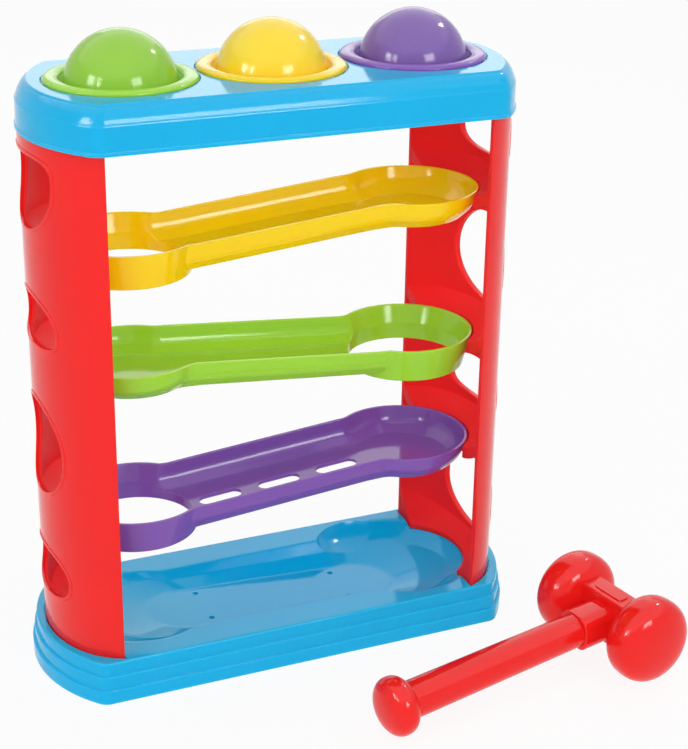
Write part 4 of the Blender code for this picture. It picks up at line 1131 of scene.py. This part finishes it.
# %% [markdown]
# The shelves curve up from a round inner edge, where the ramp's ring sits, to the wall.
# The foot is a shelf as well, with tall corners that brace the panel on the base.

# %% Shelves
SHELF_POWER = 1.4
SHELF_RISES = (0.0105, 0.0085)
FOOT_RISES = (0.0080, 0.0260)
SHELF_EDGE = 0.0009
HEAD_FLANGE = 0.0025
SHELF_RANKS = 10


def shelf(rim, rises, lowest=None):
    """Shelf of one level: even in thickness, or solid down to a lowest level for the foot."""
    limit = flange_angle(PANEL_WALL / 2)
    rows = []
    for angle in fan(limit):
        near = max(SHELF_RADIUS, (PANEL_FACE_X - STATION) / math.cos(angle))
        far = panel_reach(angle, PANEL_WALL / 2) + BURY
        rise = rises[0] + (rises[1] - rises[0]) * (angle / limit) ** 2
        top = []
        for rank in range(SHELF_RANKS + 1):
            reach = near + (far - near) * rank / SHELF_RANKS
            lift = rise * ((reach - SHELF_RADIUS) / (far - SHELF_RADIUS)) ** SHELF_POWER
            top.append((reach, rim + lift))
        under = [(reach, lowest or z - SHELF_THICKNESS) for reach, z in reversed(top)]
        easing = [SHELF_EDGE, *[0.0] * (len(top + under) - 2), SHELF_EDGE]
        section = rounded(top + under, easing, steps=3, closed=True)
        cosine, sine = math.cos(angle), math.sin(angle)
        rows.append([(STATION + reach * cosine, reach * sine, z) for reach, z in section])
    return loft("shelf", rows)


def lug_slot(rim):
    """Slot in a shelf's inner edge that takes a ramp's lug."""
    middle, half = rim - SHELF_THICKNESS / 2, LUG_WIDTH / 2 + SEAT_GAP
    near, far = STATION + SHELF_RADIUS - OVERRUN, STATION + RING_RADIUS + LUG_REACH + SEAT_GAP
    corners = [(near, -half), (far, -half), (far, half), (near, half)]
    height = LUG_THICKNESS / 2 + SEAT_GAP
    return prism("slot", corners, middle - height, middle + height)


def side_panel(name, node, side):
    """Wall, foot, head, tongues and three shelves of one side panel."""
    item = wall(name, side)
    join(item, shelf(BASE_TOP, FOOT_RISES, FOOT_SEAT))
    flange = oval(PANEL_WALL / 2) + oval(TONGUE_INSET + TONGUE_THICKNESS)[::-1]
    tongue = tongue_outline(0.0)
    join(item, prism("head", flange, HEAD_TOP - HEAD_FLANGE, HEAD_TOP - HAIR))
    join(item, prism("tongue", tongue, FOOT_SEAT - TONGUE_HEIGHT, FOOT_SEAT + BURY))
    join(item, prism("tongue", tongue, HEAD_TOP - BURY, HEAD_TOP + TONGUE_HEIGHT))
    for rim in rims_on(side):
        join(item, shelf(rim, SHELF_RISES))
        cut(item, lug_slot(rim))
    return dull_and_painted_light_inside(dress(for_side(item, side), RED, node))


def dull_and_painted_light_inside(item):
    """Give the faces inside the wall the red with the duller finish and a lighter colour, which is
    painted light in their shade.
    """
    # Faces inside the oval get the lighter red as painted light in their shade, and the duller gloss.
    item.data.materials.append(RED_DULL_PAINTED_LIGHTER_INSIDE)
    for face in item.data.polygons:
        along = (abs(face.center.x) - PANEL_CENTRE_X) / (PANEL_BULGE - PANEL_WALL / 2)
        across = face.center.y / (PANEL_HALF_DEPTH - PANEL_WALL / 2)
        face.material_index = int(math.hypot(along, across) < 1)
    return item


side_panel("left_panel_moulding", "left_side_panel", -1)
side_panel("right_panel_moulding", "right_side_panel", 1)

# %% [markdown]
# ## The hammer
# The head has two round drums on a flat waist with rounded corners, and a round socket with four flats.
# The hammer lies on the floor, resting on its drums and on the knob, so its handle slopes down a little.

# %% Hammer axes
DRUM_RADIUS = 0.0253
DRUM_LENGTH = 0.0300
DRUM_SPACING = 0.0614
DRUM_POWER = 0.77
KNOB_RADIUS = 0.0168
KNOB_LENGTH = 0.0191
KNOB_POWER = 0.85
HANDLE_RADIUS = 0.0100
HANDLE_LENGTH = 0.1522
POLE = 0.0004
DRUM_STEPS, KNOB_STEPS, SQUIRCLE_STEPS = 48, 40, 6
HEADING = math.radians(190.1)
HEAD_CENTRE = Vector((0.1661, -0.1145, DRUM_RADIUS))
handle_drop = DRUM_RADIUS - KNOB_RADIUS
ALONG = Vector((math.cos(HEADING), math.sin(HEADING), 0)) * math.sqrt(HANDLE_LENGTH**2 - handle_drop**2)
ALONG = (ALONG - Vector((0, 0, handle_drop))).normalized()
CROSS = Vector((-math.sin(HEADING), math.cos(HEADING), 0))
UP = CROSS.cross(ALONG)
UP = UP if UP.z > 0 else -UP


def lay_down(item, x_axis, y_axis, z_axis):
    """Turn a piece's axes onto the hammer's and move it to the head's centre."""
    turn = Matrix((x_axis, y_axis, z_axis)).transposed().to_4x4()
    item.data.transform(Matrix.Translation(HEAD_CENTRE) @ turn)
    if turn.determinant() < 0:
        item.data.flip_normals()
    return item


# %% Hammer head
WAIST = (0.0308, 0.0138, 0.0012)
PAD = (0.0220, 0.0070, 0.0015)
PAD_RISE = 0.0008
SOCKET = (0.0216, 0.0216, 0.0068)
SOCKET_REACH = 0.0280
SOCKET_EDGE = 0.0010


def squircle(width, height, corner):
    """Rounded rectangle about the origin."""
    x, y = width / 2 - corner, height / 2 - corner
    outline = []
    for i, centre in enumerate(((x, y), (-x, y), (-x, -y), (x, -y))):
        outline += arc(centre, corner, i * math.pi / 2, (i + 1) * math.pi / 2, SQUIRCLE_STEPS)
    return outline


def egg(radius, length, power, steps):
    """Profile between a cylinder and an egg: a low power is square, and 1 is an ellipse."""
    profile = []
    for step in range(steps + 1):
        angle = math.pi * step / steps
        height = -math.copysign(abs(math.cos(angle)) ** power, math.cos(angle)) * length / 2
        profile.append((max(POLE, radius * abs(math.sin(angle)) ** power), height))
    return profile


def drum():
    """One drum, turned about its own axis."""
    return turned("drum", egg(DRUM_RADIUS, DRUM_LENGTH, DRUM_POWER, DRUM_STEPS), FINE_SEGMENTS)


def socket():
    """Socket for the handle, round with four flats, and with a rounded mouth."""
    corners = ((0.0, 0.0), (0.0, SOCKET_REACH), (SOCKET_EDGE * 2, SOCKET_REACH))
    levels = rounded(corners, (0, SOCKET_EDGE, 0))
    width, height, corner = SOCKET
    rows = []
    for inset, level in levels:
        outline = squircle(width - 2 * inset, height - 2 * inset, corner - inset)
        rows.append([(x, y, level) for x, y in outline])
    return turned_mesh(loft("socket", rows), -90, "X")


def hammer_head():
    """Drums, waist, pad and socket in one piece."""
    item = moved(drum(), (0, 0, DRUM_SPACING / 2))
    item.name = "hammer_head_moulding"
    waist = prism("waist", squircle(*WAIST), -DRUM_SPACING / 2, DRUM_SPACING / 2)
    pad = turned_mesh(prism("pad", squircle(*PAD), 0, WAIST[0] / 2 + PAD_RISE), 90, "Y")
    join(waist, moved(drum(), (0, 0, -DRUM_SPACING / 2)), pad, socket())
    join(item, waist)
    lay_down(item, UP, ALONG, CROSS)
    return dress(item, RED, "hammer_head", "hammer")


hammer_head()

# %% [markdown]
# The handle is a straight round bar with a flattened knob at its end.

# %% Hammer handle
def hammer_handle():
    """Bar and knob, turned about the handle's axis."""
    start = SOCKET_REACH + SEAT_GAP
    profile = [(POLE, start), (HANDLE_RADIUS, start)]
    for radius, height in egg(KNOB_RADIUS, KNOB_LENGTH, KNOB_POWER, KNOB_STEPS):
        if radius > HANDLE_RADIUS or height > 0:
            profile.append((radius, HANDLE_LENGTH + height))
    item = turned("hammer_handle_bar", profile)
    lay_down(item, UP, CROSS, ALONG)
    return dress(item, RED, "hammer_handle", "hammer")


hammer_handle()

# %% [markdown]
# ## The studio
# The photograph is a catalogue picture on white ground. The bright squares on the balls show where its
# windows stand: one to the left, one in front and a small one on the right. Each window is a soft box,
# which lights the toy, and a white card before it, which only the gloss sees. Wide, weak lamps between
# them fill the shade, and two more cards give the gloss a wall and a ceiling.

# %% Camera
PHOTO_WIDTH, PHOTO_HEIGHT = 688, 749
CAMERA_PLACE = Vector((-0.3280, -0.8457, 0.5404))
CAMERA_YAW, CAMERA_PITCH, CAMERA_ROLL = (math.radians(angle) for angle in (-23.7935, 22.8754, 0.8999))
FOCAL_PIXELS = 1720.95
tilt, swing = math.cos(CAMERA_PITCH), math.sin(CAMERA_ROLL)
back = Vector((math.sin(CAMERA_YAW) * tilt, -math.cos(CAMERA_YAW) * tilt, math.sin(CAMERA_PITCH)))
level = (-back).cross(Vector((0, 0, 1))).normalized()
above = level.cross(-back)
right = math.cos(CAMERA_ROLL) * level + swing * above
top = -swing * level + math.cos(CAMERA_ROLL) * above
camera = bpy.data.objects.new("camera", bpy.data.cameras.new("camera"))
bpy.context.scene.collection.objects.link(camera)
camera.matrix_world = Matrix.Translation(CAMERA_PLACE) @ Matrix((right, top, back)).transposed().to_4x4()
camera.data.lens = camera.data.sensor_width * FOCAL_PIXELS / max(PHOTO_WIDTH, PHOTO_HEIGHT)
bpy.context.scene.camera = camera
print("lens", round(camera.data.lens, 2), "mm")

# %% Lights
FOCUS = Vector((0.02, -0.02, 0.17))
# Azimuth from the front to the right and elevation in degrees, distance, width, height and brightness
SOFT_BOXES = {
    "left soft box": (-76, 22, 1.6, 0.50, 0.40, 3.6),
    "front soft box": (14, 24, 1.9, 0.70, 0.50, 3.8),
    "right lamp": (108, 43, 1.8, 0.17, 0.17, 14.0),
}
SOFT_FILLS = {
    "fill from the front": (-8, 40, 2.4, 1.4, 1.4, 2.2),
    "fill from the left": (-48, 14, 2.4, 1.4, 1.4, 1.7),
    "fill from above": (0, 85, 2.4, 1.4, 1.4, 1.2),
    "fill from behind": (165, 30, 2.4, 1.4, 1.4, 0.9),
    "fill from the right": (75, 16, 2.4, 1.4, 1.4, 0.6),
}
WHITE_CARDS = {
    "left window": (-81, 22, 1.59, 0.34, 0.40, 16.0),
    "left window's other half": (-63, 22, 1.59, 0.18, 0.40, 16.0),
    "front window": (14, 24, 1.89, 0.64, 0.44, 12.0),
    "right window": (107, 43, 1.79, 0.12, 0.16, 24.0),
    "right window's other half": (113, 40, 1.79, 0.08, 0.12, 20.0),
    "wall behind": (158, 22, 2.6, 1.7, 0.84, 1.3),
    "ceiling": (0, 90, 1.7, 5.0, 5.0, 1.1),
}


def panel_light(name, azimuth, elevation, distance, width, height, brightness):
    """Area lamp that looks at the bench."""
    turn, rise = math.radians(azimuth), math.radians(elevation)
    way = Vector((math.sin(turn) * math.cos(rise), -math.cos(turn) * math.cos(rise), math.sin(rise)))
    lamp = bpy.data.lights.new(name, "AREA")
    lamp.shape = "RECTANGLE"
    lamp.size, lamp.size_y = width, height
    lamp.energy = brightness * math.pi * width * height
    item = bpy.data.objects.new(name, lamp)
    bpy.context.scene.collection.objects.link(item)
    item.location = FOCUS + way * distance
    item.rotation_euler = (-way).to_track_quat("-Z", "Y").to_euler()
    return item


for name, place in SOFT_BOXES.items():
    panel_light(name, *place)
for name, place in SOFT_FILLS.items():
    fill = panel_light(name, *place)
    fill.data.use_shadow = False
    fill.visible_glossy = False
for name, place in WHITE_CARDS.items():
    panel_light(name, *place).visible_diffuse = False
print("lamps:", len(SOFT_BOXES) + len(SOFT_FILLS), "cards:", len(WHITE_CARDS))

# %% [markdown]
# The floor is a wide sheet that the camera sees as nearly plain white, while it still takes the
# object's shadow. The room around it is plain white to the camera and to gloss, and gives less light.

# %% Floor and world
FLOOR_REACH = 4
FLOOR_DROP = 0.0002
FLOOR_COLOUR = (0.93, 0.93, 0.93, 1)
FLOOR_ROUGHNESS = 0.7
FLOOR_OWN_WHITE = 0.88
ROOM_LIGHT = 0.42
WHITE = (1, 1, 1, 1)


def seen_directly(tree):
    """Node that gives 1 for rays from the camera or a mirror-like surface, and 0 for all others."""
    ray = tree.nodes.new("ShaderNodeLightPath")
    source, out = ray, "Is Camera Ray"
    for kind in ("Is Glossy Ray", "Is Transmission Ray"):
        larger = tree.nodes.new("ShaderNodeMath")
        larger.operation = "MAXIMUM"
        wire(tree, (source, out, larger, 0), (ray, kind, larger, 1))
        source, out = larger, 0
    return source


def blend_surfaces(tree, share, first, second, output):
    """Send the blend of two surfaces by a share to an output."""
    blend = tree.nodes.new("ShaderNodeMixShader")
    wires = [(source, 0, blend, socket) for socket, source in enumerate((share, first, second))]
    wire(tree, *wires, (blend, 0, tree.nodes[output], "Surface"))


def pale_floor():
    """White ground that keeps the shadow."""
    corners = [(x * FLOOR_REACH, y * FLOOR_REACH, 0) for x, y in ((-1, -1), (1, -1), (1, 1), (-1, 1))]
    item = moved(mesh_object("floor", corners, [(0, 1, 2, 3)]), (0, 0, -FLOOR_DROP))
    material = bpy.data.materials.new("white ground")
    material.use_nodes = True
    tree = material.node_tree
    shader, share = tree.nodes["Principled BSDF"], tree.nodes.new("ShaderNodeMath")
    set_inputs(shader, {"Base Color": FLOOR_COLOUR, "Roughness": FLOOR_ROUGHNESS})
    share.operation = "MULTIPLY"
    share.inputs[1].default_value = FLOOR_OWN_WHITE
    wire(tree, (seen_directly(tree), 0, share, 0))
    blend_surfaces(tree, share, shader, tree.nodes.new("ShaderNodeEmission"), "Material Output")
    item.data.materials.append(material)


def white_room():
    """World that is plain white where it is seen, and gives less light."""
    world = bpy.data.worlds.new("white room")
    world.use_nodes = True
    bpy.context.scene.world = world
    tree = world.node_tree
    room, seen = tree.nodes["Background"], tree.nodes.new("ShaderNodeBackground")
    set_inputs(room, {"Color": WHITE, "Strength": ROOM_LIGHT})
    set_inputs(seen, {"Color": WHITE, "Strength": 1.0})
    blend_surfaces(tree, seen_directly(tree), room, seen, "World Output")


pale_floor()
white_room()
bpy.context.scene.view_settings.view_transform = "Standard"
print("room light:", ROOM_LIGHT)

# %% [markdown]
# Last, the number of pieces made is printed.

# %% Finish
print("pieces made:", len(made))
